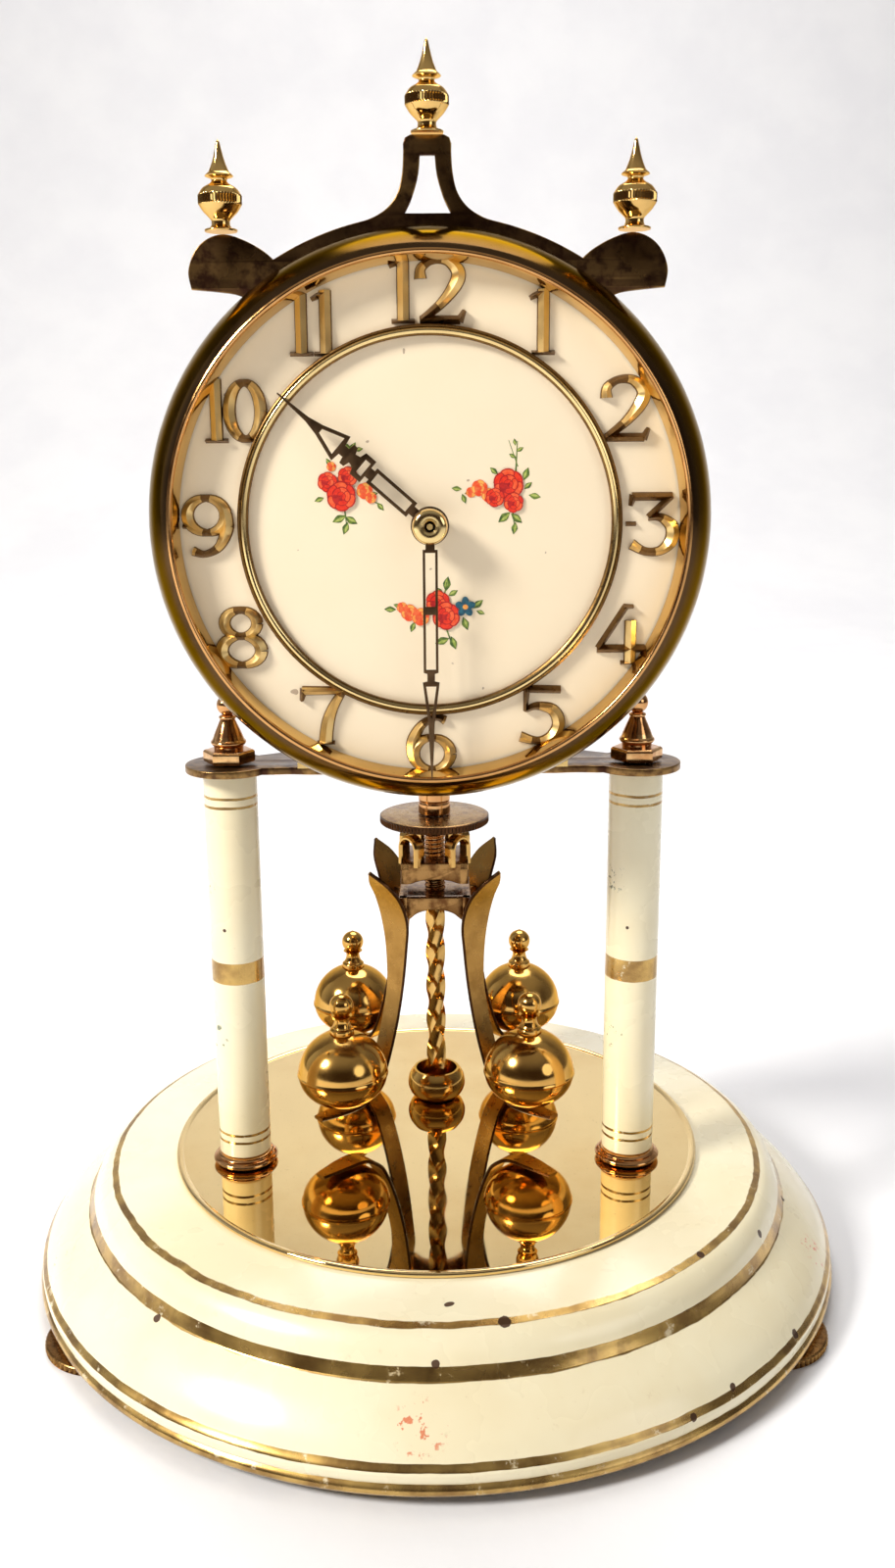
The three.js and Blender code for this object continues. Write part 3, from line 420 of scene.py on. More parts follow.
def enamel(name, stripes, decals, chips, decal_colors):
    """Glossy cream enamel with gilt stripes, rubbed remains of transfers, and small chips to the metal."""
    material, tree, shader = new_material(name)
    point = point_of(tree)
    height = axes_of(tree, point)[2]
    tone = noise(tree, point, 28, 4)
    cream = blend(tree, ease(tree, tone, 0.35, 0.7), (0.95, 0.87, 0.62), (0.9, 0.79, 0.52))
    grime = ease(tree, noise(tree, point, 420, 3, 0.7), 0.62, 0.8, 0, 0.25)
    cream = blend(tree, grime, cream, (0.56, 0.42, 0.22))
    for k, (spot, reach) in enumerate(decals):
        left = ease(tree, noise(tree, point, 430 + 90 * k, 3, 0.7), 0.57, 0.63, 0, 0.85)
        faint = maths(tree, "MULTIPLY", ease(tree, near(tree, point, spot, reach), 0.2, 0.6), left)
        cream = blend(tree, faint, cream, decal_colors[k % len(decal_colors)])
    wander = ease(tree, noise(tree, point, 130, 2), 0.2, 0.8, -0.1 * MM, 0.1 * MM)
    gilt = stripe_mask(tree, height, stripes, wander)
    rubbed = ease(tree, noise(tree, point, 240, 5, 0.75), 0.58, 0.68, 1, 0.35)
    gilt = maths(tree, "MULTIPLY", gilt, rubbed)
    gold = blend(tree, ease(tree, noise(tree, point, 170, 4), 0.35, 0.7), (0.62, 0.4, 0.12),
                 (0.3, 0.17, 0.05))
    color = blend(tree, gilt, cream, gold)
    bare = 0.0
    ragged = noise(tree, point, 700, 3, 0.6)
    for spot, reach in chips:
        inside = maths(tree, "ADD", near(tree, point, spot, reach), maths(tree, "MULTIPLY", ragged, 0.6))
        bare = maths(tree, "MAXIMUM", bare, ease(tree, inside, 0.74, 0.8))
    stray = ease(tree, noise(tree, point, 165, 1, 0.4), 0.815, 0.82)
    bare = maths(tree, "MAXIMUM", bare, stray)
    color = blend(tree, bare, color, (0.09, 0.045, 0.02))
    put(tree, shader.inputs["Base Color"], color)
    put(tree, shader.inputs["Metallic"], maths(tree, "MULTIPLY", gilt, 0.9))
    satin = ease(tree, noise(tree, point, 60, 3), 0.3, 0.7, 0.2, 0.34)
    put(tree, shader.inputs["Roughness"], maths(tree, "ADD", satin, maths(tree, "MULTIPLY", bare, 0.4)))
    ripple = maths(tree, "ADD", noise(tree, point, 90, 2), maths(tree, "MULTIPLY", bare, -2))
    put(tree, shader.inputs["Normal"], bump(tree, ripple, 0.05, 0.6))
    put(tree, shader.inputs["Coat Weight"], 0.35)
    put(tree, shader.inputs["Coat Roughness"], 0.12)
    return material


def dial_paint():
    """Satin cream paint with a faint grain and a few specks."""
    material, tree, shader = new_material("dial_paint")
    point = point_of(tree)
    cream = blend(tree, ease(tree, noise(tree, point, 22, 4), 0.3, 0.7), (0.98, 0.83, 0.6), (0.96, 0.8, 0.56))
    specks = ease(tree, noise(tree, point, 330, 1, 0.3), 0.8, 0.81, 0, 0.6)
    put(tree, shader.inputs["Base Color"], blend(tree, specks, cream, (0.2, 0.1, 0.05)))
    put(tree, shader.inputs["Roughness"], ease(tree, noise(tree, point, 200, 3), 0.3, 0.7, 0.42, 0.55))
    put(tree, shader.inputs["Normal"], bump(tree, noise(tree, point, 2600, 2), 0.01, 0.4))
    return material


def transfer(name, light, dark):
    """One printed colour of the rose transfers, mottled like watercolour."""
    material, tree, shader = new_material(name)
    point = point_of(tree)
    mottle = ease(tree, noise(tree, point, 1100, 3, 0.6), 0.36, 0.66)
    put(tree, shader.inputs["Base Color"], blend(tree, mottle, light, dark))
    put(tree, shader.inputs["Roughness"], ease(tree, noise(tree, point, 700, 2), 0.3, 0.7, 0.35, 0.5))
    return material


def floor_cloth():
    """A plain pale ground with a very soft weave."""
    material, tree, shader = new_material("pale_ground")
    point = point_of(tree)
    tone = ease(tree, noise(tree, point, 9, 3), 0.3, 0.7)
    put(tree, shader.inputs["Base Color"], blend(tree, tone, (0.93, 0.93, 0.945), (0.88, 0.88, 0.905)))
    put(tree, shader.inputs["Roughness"], 0.8)
    put(tree, shader.inputs["Normal"], bump(tree, noise(tree, point, 45, 4), 2, 0.25))
    return material


YELLOW_BRASS = (0.8, 0.52, 0.18)
DEEP_BRASS = (0.46, 0.25, 0.07)
GOLDEN = (0.95, 0.72, 0.42)
polished = metal("polished_brass", YELLOW_BRASS, DEEP_BRASS, 0.08, 0.1, 0.35, 60, glance=GOLDEN)
bar_brass = metal("bar_brass", (0.62, 0.38, 0.12), (0.3, 0.15, 0.04), 0.1, 0.1, 0.4, 120, glance=GOLDEN)
ball_brass = metal("ball_brass", (0.66, 0.38, 0.1), (0.36, 0.17, 0.04), 0.1, 0.12, 0.5, 45, relief=0.25,
                   glance=GOLDEN)
trim_brass = metal("trim_brass", (0.8, 0.6, 0.27), (0.52, 0.34, 0.13), 0.12, 0.1, 0.4, 90, relief=0.15)
numeral_brass = metal("numeral_brass", (0.82, 0.58, 0.24), (0.56, 0.36, 0.12), 0.3, 0.12, 0.4, 90,
                      relief=0.15)
mirror_brass = metal("mirror_brass", (0.92, 0.7, 0.34), (0.78, 0.52, 0.2), 0.006, 0.05, 0.55, 26,
                     (1, 0.04, 1), relief=0.01)
old_brass = metal("old_brass", (0.26, 0.13, 0.04), (0.12, 0.055, 0.018), 0.2, 0.16, 0.6, 420,
                  worn_edges=(0.4, 0.24, 0.08))
arm_brass = metal("arm_brass", (0.4, 0.22, 0.06), (0.24, 0.12, 0.03), 0.24, 0.14, 0.6, 160, glance=GOLDEN)
# Painted shade: a dark copy of arm_brass for the narrow edges of the pendulum arms and the knurled rim of the
# regulator disc.
edge_shade_brass = metal("edge_shade_brass", (0.07, 0.03, 0.012), (0.03, 0.014, 0.007), 0.25, 0.15, 0.5, 200)
block_brass = metal("block_brass", (0.13, 0.055, 0.018), (0.05, 0.022, 0.009), 0.16, 0.16, 0.6, 200,
                    worn_edges=(0.36, 0.2, 0.07))
red_brass = metal("red_brass", (0.62, 0.31, 0.12), (0.3, 0.12, 0.04), 0.1, 0.12, 0.5, 110,
                  worn_edges=(0.8, 0.5, 0.22))
bronze = metal("dark_bronze", (0.065, 0.027, 0.015), (0.035, 0.018, 0.013), 0.24, 0.14, 0.5, 30,
               worn_edges=(0.5, 0.3, 0.1))
rim_bronze = metal("rim_bronze", (0.1, 0.056, 0.026), (0.045, 0.024, 0.012), 0.1, 0.1, 0.6, 60, relief=0.08,
                   glance=(0.72, 0.58, 0.38))
# Painted shade: a dark brass for the flanks of the numerals and of the chapter ring's bead.
painted_shade_bronze = metal("painted_shade_bronze", (0.2, 0.11, 0.035), (0.1, 0.05, 0.018), 0.25, 0.15, 0.5, 300)
lip_brass = metal("lip_brass", (0.62, 0.33, 0.12), (0.3, 0.13, 0.04), 0.1, 0.1, 0.4, 90)
wall_brass = metal("wall_brass", (0.74, 0.5, 0.17), (0.38, 0.22, 0.055), 0.05, 0.1, 0.7, 24, relief=0.15)
hand_bronze = metal("hand_bronze", (0.12, 0.07, 0.035), (0.05, 0.028, 0.016), 0.3, 0.15, 0.5, 300)
clock_brass = metal("clock_brass", (0.78, 0.56, 0.22), (0.46, 0.29, 0.1), 0.26, 0.16, 0.5, 70, (1, 1, 0.05))
steel = metal("clock_steel", (0.55, 0.55, 0.56), (0.3, 0.28, 0.26), 0.25, 0.2, 0.5, 200, (1, 0.1, 1))
paint = dial_paint()

# ---------- base ----------
LEVELLING_SCREWS = ("levelling_screw_left", "levelling_screw_right", "levelling_screw_rear")
BOSS_BORE, BOSS_RADIUS = 1.9, 3.4      # the threaded bosses under the base
BOSS_FOOT, BOSS_TOP = 7, 15
BASE_STRIPES = [(2.3, 5.3), (7.75, 9.05), (18.65, 21.25), (26.5, 27.15)]


def around_base(azimuth, radius, height):
    a = math.radians(azimuth)
    return (radius * math.cos(a), radius * math.sin(a), height)


def base():
    at = place("base_shell")
    rim, foot, top = at.radius, at.low.z, at.high.z
    under = [(0, top - 1.2), (rim - 21.2, top - 1.2)]
    under += spline([(rim - 21.2, top - 1.2), (rim - 13.9, 17.5), (rim - 3, 7.4), (rim - 3, 4)], 5)
    bead = spline(shifted(rim, foot, [(-2, 0.2), (-1.1, 0), (-0.1, 0.9), (-0.1, 1.9), (-0.8, 2.8)]), 5)
    bulge = spline([(rim - 0.6, foot + 3.2), (rim - 0.5, 6.6), (rim - 0.6, 7.7), (rim - 1.6, 9.0),
                    (rim - 3.9, 12.1), (rim - 7.4, 15.5), (rim - 11.4, 18.5)], 6)
    cove = spline([(rim - 11.9, 18.8), (rim - 12.5, 20.0), (rim - 13.1, 21.3), (rim - 14.3, 23.8),
                   (rim - 16, 25.7), (rim - 17.6, 26.6)], 6)
    profile = under + bead + bulge + cove + rounded([(rim - 17.6, 26.6), (rim - 19.4, top), (0, top)])
    decals = [(around_base(-92, 89.5, 13.6), 9), (around_base(-160, 90.5, 12.6), 7),
              (around_base(-19, 90.5, 12.6), 7)]
    chips = [(around_base(-80, 77, 26.7), 2.4), (around_base(-90, 81.6, 21.6), 1.6),
             (around_base(-29, 80.8, 23), 1.8), (around_base(-44, 76.8, 26.8), 1.7),
             (around_base(-133, 84, 18.6), 1.8), (around_base(-36, 93.5, 9), 1.9),
             (around_base(-58, 93.9, 8), 1.6), (around_base(-12, 83, 19), 1.4)]
    cream = enamel("base_enamel", BASE_STRIPES, decals, chips, [(0.75, 0.17, 0.06), (0.85, 0.32, 0.14)])
    shell = lathe("base_skin", profile, [cream], around=192)
    bosses = []
    for node in LEVELLING_SCREWS:
        spot = place(node)
        ring = rounded([(BOSS_BORE, BOSS_TOP), (BOSS_BORE, BOSS_FOOT), (BOSS_RADIUS, BOSS_FOOT),
                        (BOSS_RADIUS, BOSS_TOP), (BOSS_BORE, BOSS_TOP)], 0.3)
        bosses.append(lathe("boss", ring, [clock_brass], (spot.x, spot.y, 0), around=32))
    dress(join("base_enamelled", [shell, *bosses]), "base_shell")


def levelling_screw(node):
    at = place(node)
    wheel = rounded([(0, 0), (at.radius - 0.4, 0), (at.radius, 0.4), (at.radius, 1.6), (at.radius - 0.4, 2),
                     (1.6, 2), (1.6, 13.2), (1.2, at.high.z), (0, at.high.z)], 0.2)
    edge = knurled(66, 0.45, 0.3, 1.7)

    def only_rim(radius, height, angle):
        if radius > 5:
            return edge(radius, height, angle)
        return 0.12 * math.sin(angle + height * 9) * (height > 2.5)
    dress(lathe(node + "_knurled", wheel, [old_brass], at.plan, around=264, knurl=only_rim), node)


def mirror_disc():
    at = place("mirror_disc")
    r, low, top = at.radius, at.low.z, at.high.z
    roll = spline([(r - 0.2, low), (r, low + 0.5), (r - 0.2, top - 0.15), (r - 0.7, top),
                   (r - 1.3, top - 0.12), (r - 1.7, top - 0.4)], 4)
    flat = [(inside, top - 0.4) for inside in (r - 1.8, r - 2.2, r - 8, 0)]
    profile = [(0, low), (r - 6, low), (r - 1, low)] + roll + flat
    dress(lathe("mirror_disc_polished", profile, [mirror_brass], around=160), "mirror_disc")


def pendulum_cup():
    at = place("pendulum_cup")
    r, low = at.radius, at.low.z
    outside = spline(shifted(r, low, [(-2.2, 0), (-0.9, 1), (-0.15, 2.6), (0, 4), (-0.4, 5.8),
                                      (-1.5, 7.5)]), 8)
    inside = spline([(r - 2.1, low + 7.5), (r - 1.2, low + 4), (r - 2, low + 1.8), (0, low + 1.2)])
    dress(lathe("pendulum_cup_turned", [(0, low)] + outside + inside, [ball_brass], at.plan, around=64),
          "pendulum_cup")


# ---------- pillars and platform ----------
PILLAR_STRIPES = [(34.9, 35.5), (36.8, 37.4), (74.1, 79.2), (114.7, 115.3), (116.7, 117.3)]


def pillar(side):
    node = f"pillar_{side}"
    at = place(node)
    wall = rounded([(2.2, at.high.z), (2.2, at.low.z), (at.radius, at.low.z), (at.radius, at.high.z),
                    (2.2, at.high.z)], 0.4)
    wall.append(wall[0])
    outward = Vector((-0.8, -0.6, 0)) * at.radius
    decals = [((at.x + outward.x, at.y + outward.y, z), 5.5) for z in (61, 98)]
    chips = [((at.x + outward.x * 0.4, at.y - at.radius * 0.97, 87), 0.8)]
    cream = enamel(f"{node}_enamel", PILLAR_STRIPES, decals, chips, [(0.05, 0.09, 0.03)])
    dress(lathe(f"{node}_enamelled", wall, [cream], at.plan, around=72), node)


def pillar_collar(side):
    node = f"pillar_collar_{side}"
    at = place(node)
    r, low, top = at.radius, at.low.z, at.high.z
    roll = spline([(r - 0.9, low), (r - 0.1, low + 0.5), (r, low + 1.1), (r - 0.6, low + 1.6),
                   (r - 1, low + 1.8), (r - 0.8, low + 2.1), (r - 1.3, top)], 4)
    profile = [(2.2, low)] + roll + [(2.2, top), (2.2, low)]
    dress(lathe(f"{node}_turned", profile, [red_brass], at.plan, around=64), node)


def pillar_finial(side):
    node = f"pillar_finial_{side}"
    at = place(node)
    deck = place("platform").high.z
    hexagon = rounded(shifted(0, deck, [(0, 0.3), (5.4, 0.3), (5.7, 0.7), (5.7, 2.7), (5.2, 3.1),
                                        (0, 3.1)]), 0.25)
    nut = lathe("nut", hexagon, [red_brass], at.plan, around=6, smooth=20)
    foot = deck + 3
    cone = spline(shifted(0, foot, [(3.2, 0), (3.3, 1), (3.7, 1.3), (3.9, 1.8), (3.5, 2.4)]), 4)
    cone += spline(shifted(0, foot, [(3.5, 2.4), (2.6, 4.6), (1.7, 6.7), (1.9, 7.1), (1.8, 7.5),
                                     (1.2, 7.8)]), 4)
    ball = arc(0, foot + 9.9, 2.3, -62, 90, 12)
    head = lathe("head", [(0, foot)] + cone + ball[:-1] + [(0, foot + 12.2)], [red_brass], at.plan, around=48)
    rod = lathe("rod", [(0, at.low.z), (1.7, at.low.z), (1.7, foot), (0, foot)], [steel], at.plan, around=24)
    dress(join(f"{node}_turned", [nut, head, rod]), node)


def platform():
    at = place("platform")
    post = place("pillar_left")
    end = at.high.x + post.x
    outline = arc(post.x, post.y, end, 55, 325, 40)
    outline += spline([(post.x + end * 0.95, post.y - 5.6), (-31, post.y - 5.2), (-27, post.y - 5.7)], 5)
    outline += spline([(27, post.y - 5.7), (31, post.y - 5.2), (-post.x - end * 0.95, post.y - 5.6)], 5)
    outline += arc(-post.x, post.y, end, 215, 485, 40)
    outline += arc(0, -20, 33, 50, 130, 24)
    holes = [arc(side * post.x, post.y, 2.2, 0, 345, 23) for side in (-1, 1)]
    dress(plate("platform_plate", [outline, *holes], at.low.z, at.high.z, [bronze], 0.25, upright=False),
          "platform")


# ---------- gallery, finials, bezel ----------
GALLERY_INNER = 54.6     # its edge behind the bezel
GALLERY_OUTER = 58.4     # its edge where it shows above the bezel
GALLERY_OPENING = 46     # the hole behind the dial


def gallery():
    at, dial = place("gallery_plate"), place("bezel")
    tip = place("top_finial_left").low.z - 0.3
    ear = place("top_finial_left").x * -1
    ear_corner = (ear + 6.1, tip - 10.3)
    under = spline([(ear - 4.4, tip - 12), (ear - 2.2, tip - 11.2), (ear + 1.6, tip - 10.7), ear_corner], 6)
    lobe = spline([ear_corner, (ear + 6.6, tip - 7), (ear + 5.4, tip - 3.6), (ear + 3, tip - 1.2),
                   (ear - 0.4, tip - 0.2), (ear - 4.2, tip - 1.2), (ear - 7.8, tip - 3.1),
                   (ear - 9.9, tip - 4.8)], 8)
    ring = arc(0, dial.z, GALLERY_OUTER, 59.2, 76, 14)
    lyre = spline([ring[-1], (10.8, 234.2), (7.8, 236), (5.8, 238.6), (4.9, 241.8), (4.6, 245.3),
                   (4.6, at.high.z - 1.6)], 5)
    lyre += [(4.2, at.high.z - 0.5), (3.2, at.high.z)]
    start = math.degrees(math.atan2(tip - 12 - dial.z, ear - 4.4))
    right = arc(0, dial.z, GALLERY_INNER, -90, start, 60)[:-1] + under + lobe[1:] + ring + lyre[1:]
    opening = arc(0, dial.z, GALLERY_OPENING, 0, 357, 119)
    slot = mirrored(spline([(1.4, 245.4), (1.8, 241.8), (3, 237.8), (4.4, 235)], 5))
    outline = mirrored(right[1:])
    dress(plate("gallery_blackened", [outline, opening, slot], at.low.y, at.high.y, [bronze], 0.2),
          "gallery_plate")


def top_finial(side):
    node = f"top_finial_{side}"
    at = place(node)
    low = at.low.z - 0.3
    profile = [(0, low + 0.3)] + rounded(shifted(0, low, [(3.1, 0.3), (3.2, 0.7), (2.1, 1), (1.8, 1.5)]), 0.2)
    profile += spline(shifted(0, low, [(1.8, 1.5), (1.8, 2.3), (2.4, 3), (3.3, 3.9), (4.1, 5.1)]), 4)
    profile += [(4.2, low + 5.3 + 0.3 * i) for i in range(6)]
    profile += spline(shifted(0, low, [(4.1, 7), (3.3, 8.1), (2, 8.9), (1.5, 9.4), (1.6, 9.8)]), 5)
    profile += spline(shifted(0, low, [(1.7, 9.9), (2.6, 10.2), (2.7, 10.4), (2.3, 10.8)]), 3)
    profile += spline(shifted(0, low, [(2, 11), (1.4, 12.4), (0.85, 14.2), (0.35, 16.4)]), 5)
    profile += [(0, low + 16.9)]
    fine = knurled(44, 0.24, low + 5.25, low + 6.85)
    dress(lathe(f"{node}_turned", profile, [polished], at.plan, around=176, knurl=fine), node)


def bezel():
    at = place("bezel")
    r, back, front = at.radius, at.high.y, at.low.y
    rim = spline([(r - 0.7, back), (r - 0.05, back - 2), (r - 0.8, back - 6), (r - 2.3, back - 10.2),
                  (r - 4.3, back - 13.3), (r - 5.6, front + 0.25)], 6)
    lip = spline(shifted(r, front, [(-5.6, 0.25), (-6.1, 0), (-6.5, 0.15), (-6.75, 0.6)]), 4)
    wall = spline([(r - 6.75, front + 0.6), (r - 7.15, front + 2.4), (r - 7.5, front + 4.6)], 5)
    inside = [(r - 6.8, front + 4.6), (r - 3.4, front + 4.6), (r - 1.9, back - 7), (r - 1.6, back - 4),
              (r - 2, back)]
    profile = rim + lip[1:] + wall[1:] + inside + [(r - 0.7, back)]

    def which(radius, height):
        if radius > r - 5.7 or height > front + 4.5:
            return 0
        return 1 if radius > r - 6.8 and height < front + 0.65 else 2
    dress(lathe("bezel_turned", profile, [rim_bronze, lip_brass, wall_brass], at.face, "Y", 256, paint=which),
          "bezel")


# ---------- dial ----------
NUMERAL_CIRCLE = 43.3
NUMERAL_RISE = 1.5
TABS = ((38, 40), (46.6, 48))          # either side of 3 and 9: their ends, from the dial's centre
TAB_RISE = 0.9
DIAL_THICK = 0.7
DIAL_FEET = ((-20, -18), (20, -18))


def ellipse(cx, cz, rx, rz, start, end, steps, thin, thick):
    """Points of a round stroke: (x, z, half width), thick at its sides and thin at its top and bottom."""
    points = []
    for i in range(steps + 1):
        a = math.radians(start + (end - start) * i / steps)
        half = thin + (thick - thin) * abs(math.cos(a))
        points.append((cx + rx * math.cos(a), cz + rz * math.sin(a), half))
    return points


def digit_strokes(digit):
    """A numeral's strokes as (x, z, weight) points, in a space about 12 high centred on the origin."""
    serif = [(-2.2, -5.5, 0.5), (2.2, -5.5, 0.5)]
    if digit == "0":
        return [ellipse(0, 0, 3, 5.2, 0, 360, 32, 0.7, 1.15)]
    if digit == "1":
        return [[(0, 5.9, 1.1), (0, -5.5, 1.1)], [(-2.6, 4.3, 0.3), (-1.6, 4.8, 0.6), (0, 5.4, 0.7)], serif]
    if digit == "2":
        bowl = spline([(-3.7, 2.0, 1.1), (-3.6, 3.9, 0.9), (-1.6, 5.3, 0.75), (1.2, 5.3, 0.9),
                       (3.3, 3.4, 1.2), (2.9, 1.1, 1.2), (0.2, -2.3, 0.9), (-3.6, -5.3, 0.7)])
        return [bowl, [(-3.9, -5.3, 0.8), (3.7, -5.3, 0.8)], [(3.5, -5.6, 0.8), (4.5, -3.6, 0.4)]]
    if digit == "3":
        bowl = spline([(-1, 1.1, 0.6), (1.4, 1.2, 0.8), (3.7, -0.6, 1.2), (3.6, -3.3, 1.2), (1.5, -5.2, 0.9),
                       (-1.4, -5.3, 0.8), (-4.1, -3.9, 1.0)])
        return [[(-4.2, 5.2, 0.8), (3.6, 5.2, 0.8)], [(-3.9, 5.5, 0.8), (-4.4, 3.4, 0.4)],
                [(3.5, 5.3, 0.7), (-0.9, 1.2, 0.7)], bowl]
    if digit == "4":
        return [[(0.9, 5.6, 0.7), (-4.4, -2.6, 0.7)], [(-4.7, -2.7, 0.8), (4.8, -2.7, 0.8)],
                [(1.9, 2.9, 1.1), (1.9, -5.5, 1.1)], [(0, -5.5, 0.5), (3.8, -5.5, 0.5)],
                [(0.4, 5.6, 0.6), (2.4, 5.6, 0.5)]]
    if digit == "5":
        bowl = spline([(-2.8, 0.9, 0.6), (-0.6, 1.7, 0.8), (2.6, 0.9, 1.1), (3.8, -1.8, 1.2),
                       (2.5, -4.4, 1.1), (-0.4, -5.4, 0.8), (-3.9, -4.5, 1.0)])
        return [[(-2.9, 5.2, 0.8), (4.1, 5.0, 0.8)], [(-2.6, 5.4, 0.7), (-2.9, 0.7, 0.5)], bowl]
    if digit == "6":
        back = spline([(2.7, 4.7, 0.9), (0.8, 5.3, 0.7), (-2.1, 3.7, 0.9), (-3.8, 0.4, 1.2),
                       (-3.7, -2.6, 1.2)])
        return [back, ellipse(0, -2.1, 3.7, 3.3, 0, 360, 28, 0.7, 1.15)]
    if digit == "7":
        leg = spline([(3.9, 5.0, 0.8), (1.9, 1.6, 1.0), (0.8, -1.6, 1.2), (0.3, -5.4, 1.25)])
        return [[(-4.1, 5.1, 0.9), (4.1, 5.1, 0.8)], [(-3.8, 5.5, 0.8), (-4.3, 3.1, 0.4)], leg,
                [(-1.4, -5.5, 0.5), (2.2, -5.5, 0.5)]]
    if digit == "8":
        return [ellipse(0, 2.8, 3.2, 2.6, 0, 360, 26, 0.7, 1.1),
                ellipse(0, -2.6, 3.9, 2.9, 0, 360, 28, 0.7, 1.2)]
    tail = spline([(3.7, 2.4, 1.2), (3.8, -0.6, 1.2), (2.2, -3.9, 0.9), (-0.6, -5.3, 0.7), (-2.9, -4.7, 0.9)])
    return [ellipse(0, 2.1, 3.7, 3.3, 0, 360, 28, 0.7, 1.15), tail]


def ridge(stroke, at_x, at_z, face, rise):
    """A stroke with painted shade on its flanks and a sharp brass ridge along its middle; thin parts are made
    thinner.
    """
    rings = []
    for i, (x, z, weight) in enumerate(stroke):
        half = max(1.3 * weight - 0.2, 0.45)
        ahead = Vector(stroke[min(i + 1, len(stroke) - 1)][:2]) - Vector(stroke[max(i - 1, 0)][:2])
        if stroke[0] == stroke[-1] and i in (0, len(stroke) - 1):
            ahead = Vector(stroke[1][:2]) - Vector(stroke[-2][:2])
        side = Vector((-ahead.y, ahead.x)).normalized()
        top = half - 0.22
        section = [(-half, 0), (-top, rise * 0.4), (0, rise), (top, rise * 0.4), (half, 0)]
        rings.append([(at_x + x + side.x * u, face - v, at_z + z + side.y * u) for u, v in section])
    made = loft("stroke", rings, [numeral_brass, painted_shade_bronze], smooth=28)
    for face in made.data.polygons:
        # Faces that do not face the front are painted dark as shade.
        if face.normal.y > -0.6:
            face.material_index = 1
    return made


def numerals(dial, face):
    """Raised brass numerals, each upright, on one circle round the dial."""
    spread = {"10": (-3.1, 2.4), "11": (-2.3, 2.3), "12": (-4.7, 2.3)}
    strokes = []
    for hour in range(1, 13):
        a = math.radians(30 * hour)
        x, z = dial.x + NUMERAL_CIRCLE * math.sin(a), dial.z + NUMERAL_CIRCLE * math.cos(a)
        text = str(hour)
        for digit, shift in zip(text, spread.get(text, (0,))):
            strokes += [ridge(stroke, x + shift, z, face, NUMERAL_RISE) for stroke in digit_strokes(digit)]
    for inner, outer in TABS:
        for side in (-1, 1):
            tab = [(inner * side, 0, 0.5), (outer * side, 0, 0.5)]
            strokes.append(ridge(tab, dial.x, dial.z, face, TAB_RISE))
    return strokes


def dial():
    at = place("dial_plate")
    face = place("chapter_ring").high.y + 0.3
    back = face + DIAL_THICK
    profile = rounded([(3, face), (at.radius, face), (at.radius, back), (3, back), (3, face)], 0.15)
    profile.append(profile[0])
    plate_disc = lathe("disc", profile, [paint], at.face, "Y", 160)
    foot = [(0, back), (1.6, back), (1.6, at.high.y), (0, at.high.y)]
    feet = [lathe("foot", foot, [clock_brass], (at.x + x, 0, at.z + z), "Y", 24) for x, z in DIAL_FEET]
    pieces = [plate_disc, *feet, *numerals(at, face)]
    dress(join("dial_painted", pieces), "dial_plate")
    return SimpleNamespace(x=at.x, z=at.z, face=face)


def chapter_ring():
    at = place("chapter_ring")
    back, front = at.high.y, at.low.y
    r = at.radius
    profile = rounded([(r - 2.1, back), (r - 2.1, front + 0.5), (r - 1.7, front + 0.2), (r - 1.2, front),
                       (r - 0.8, front + 0.15), (r - 0.6, front + 0.5), (r - 0.4, front + 0.2),
                       (r, front + 0.5), (r, back), (r - 2.1, back)], 0.1)
    profile.append(profile[0])

    # The inner slope and the outer edge of the ring are painted dark as shade, either side of its brass bead.
    def which(radius, height):
        return 0 if r - 1.65 < radius < r - 0.65 else 1
    dress(lathe("chapter_ring_beaded", profile, [trim_brass, painted_shade_bronze], at.face, "Y", 192, paint=which),
          "chapter_ring")


# ---------- rose transfers ----------
def petal(cx, cz, length, width, degrees, steps=14, point=0.0):
    """A petal or, with point 1, a pointed leaf, centred on cx, cz and turned by degrees."""
    a = math.radians(degrees)
    outline = []
    for i in range(steps):
        t = 2 * math.pi * i / steps
        u = length * math.cos(t)
        v = width * math.sin(t) * (1 - point * abs(math.cos(t)) ** 1.5)
        outline.append((cx + u * math.cos(a) - v * math.sin(a), cz + u * math.sin(a) + v * math.cos(a)))
    return outline


# Petals in each ring, then their distance, length and width as shares of the rose's size.
ROSE_RINGS = ((6, 0.62, 0.42, 0.27), (5, 0.36, 0.32, 0.2), (3, 0.15, 0.2, 0.12))


def rose(cx, cz, size, tones):
    """Shapes of a cabbage rose: (outline, colour). Outer petals wrap a darker heart."""
    deep, red, light = tones
    shapes = [(petal(cx, cz, size * 0.9, size * 0.82, 20, 20), deep)]
    for ring, (count, away, long, wide) in enumerate(ROSE_RINGS):
        for k in range(count):
            turn = 360 * k / count + 37 * ring + 11 * size
            a = math.radians(turn)
            spot = (cx + size * away * math.cos(a), cz + size * away * math.sin(a))
            tone = (red, light, red, deep)[(k + ring) % 4] if ring else (red, light)[k % 2]
            shapes.append((petal(*spot, size * long * 1.1, size * wide * 1.18, turn + 90), deep))
            shapes.append((petal(*spot, size * long * 0.94, size * wide * 0.86, turn + 90), tone))
    shapes.append((petal(cx, cz, size * 0.12, size * 0.08, 30, 8), deep))
    return shapes


def leaf(cx, cz, length, degrees):
    a = math.radians(degrees)
    offset = length * 0.1
    half = (cx - math.sin(a) * offset, cz + math.cos(a) * offset)
    return [(petal(cx, cz, length, length * 0.52, degrees, 16, 0.8), "leaf_dark"),
            (petal(*half, length * 0.8, length * 0.2, degrees, 14, 0.8), "leaf_light")]


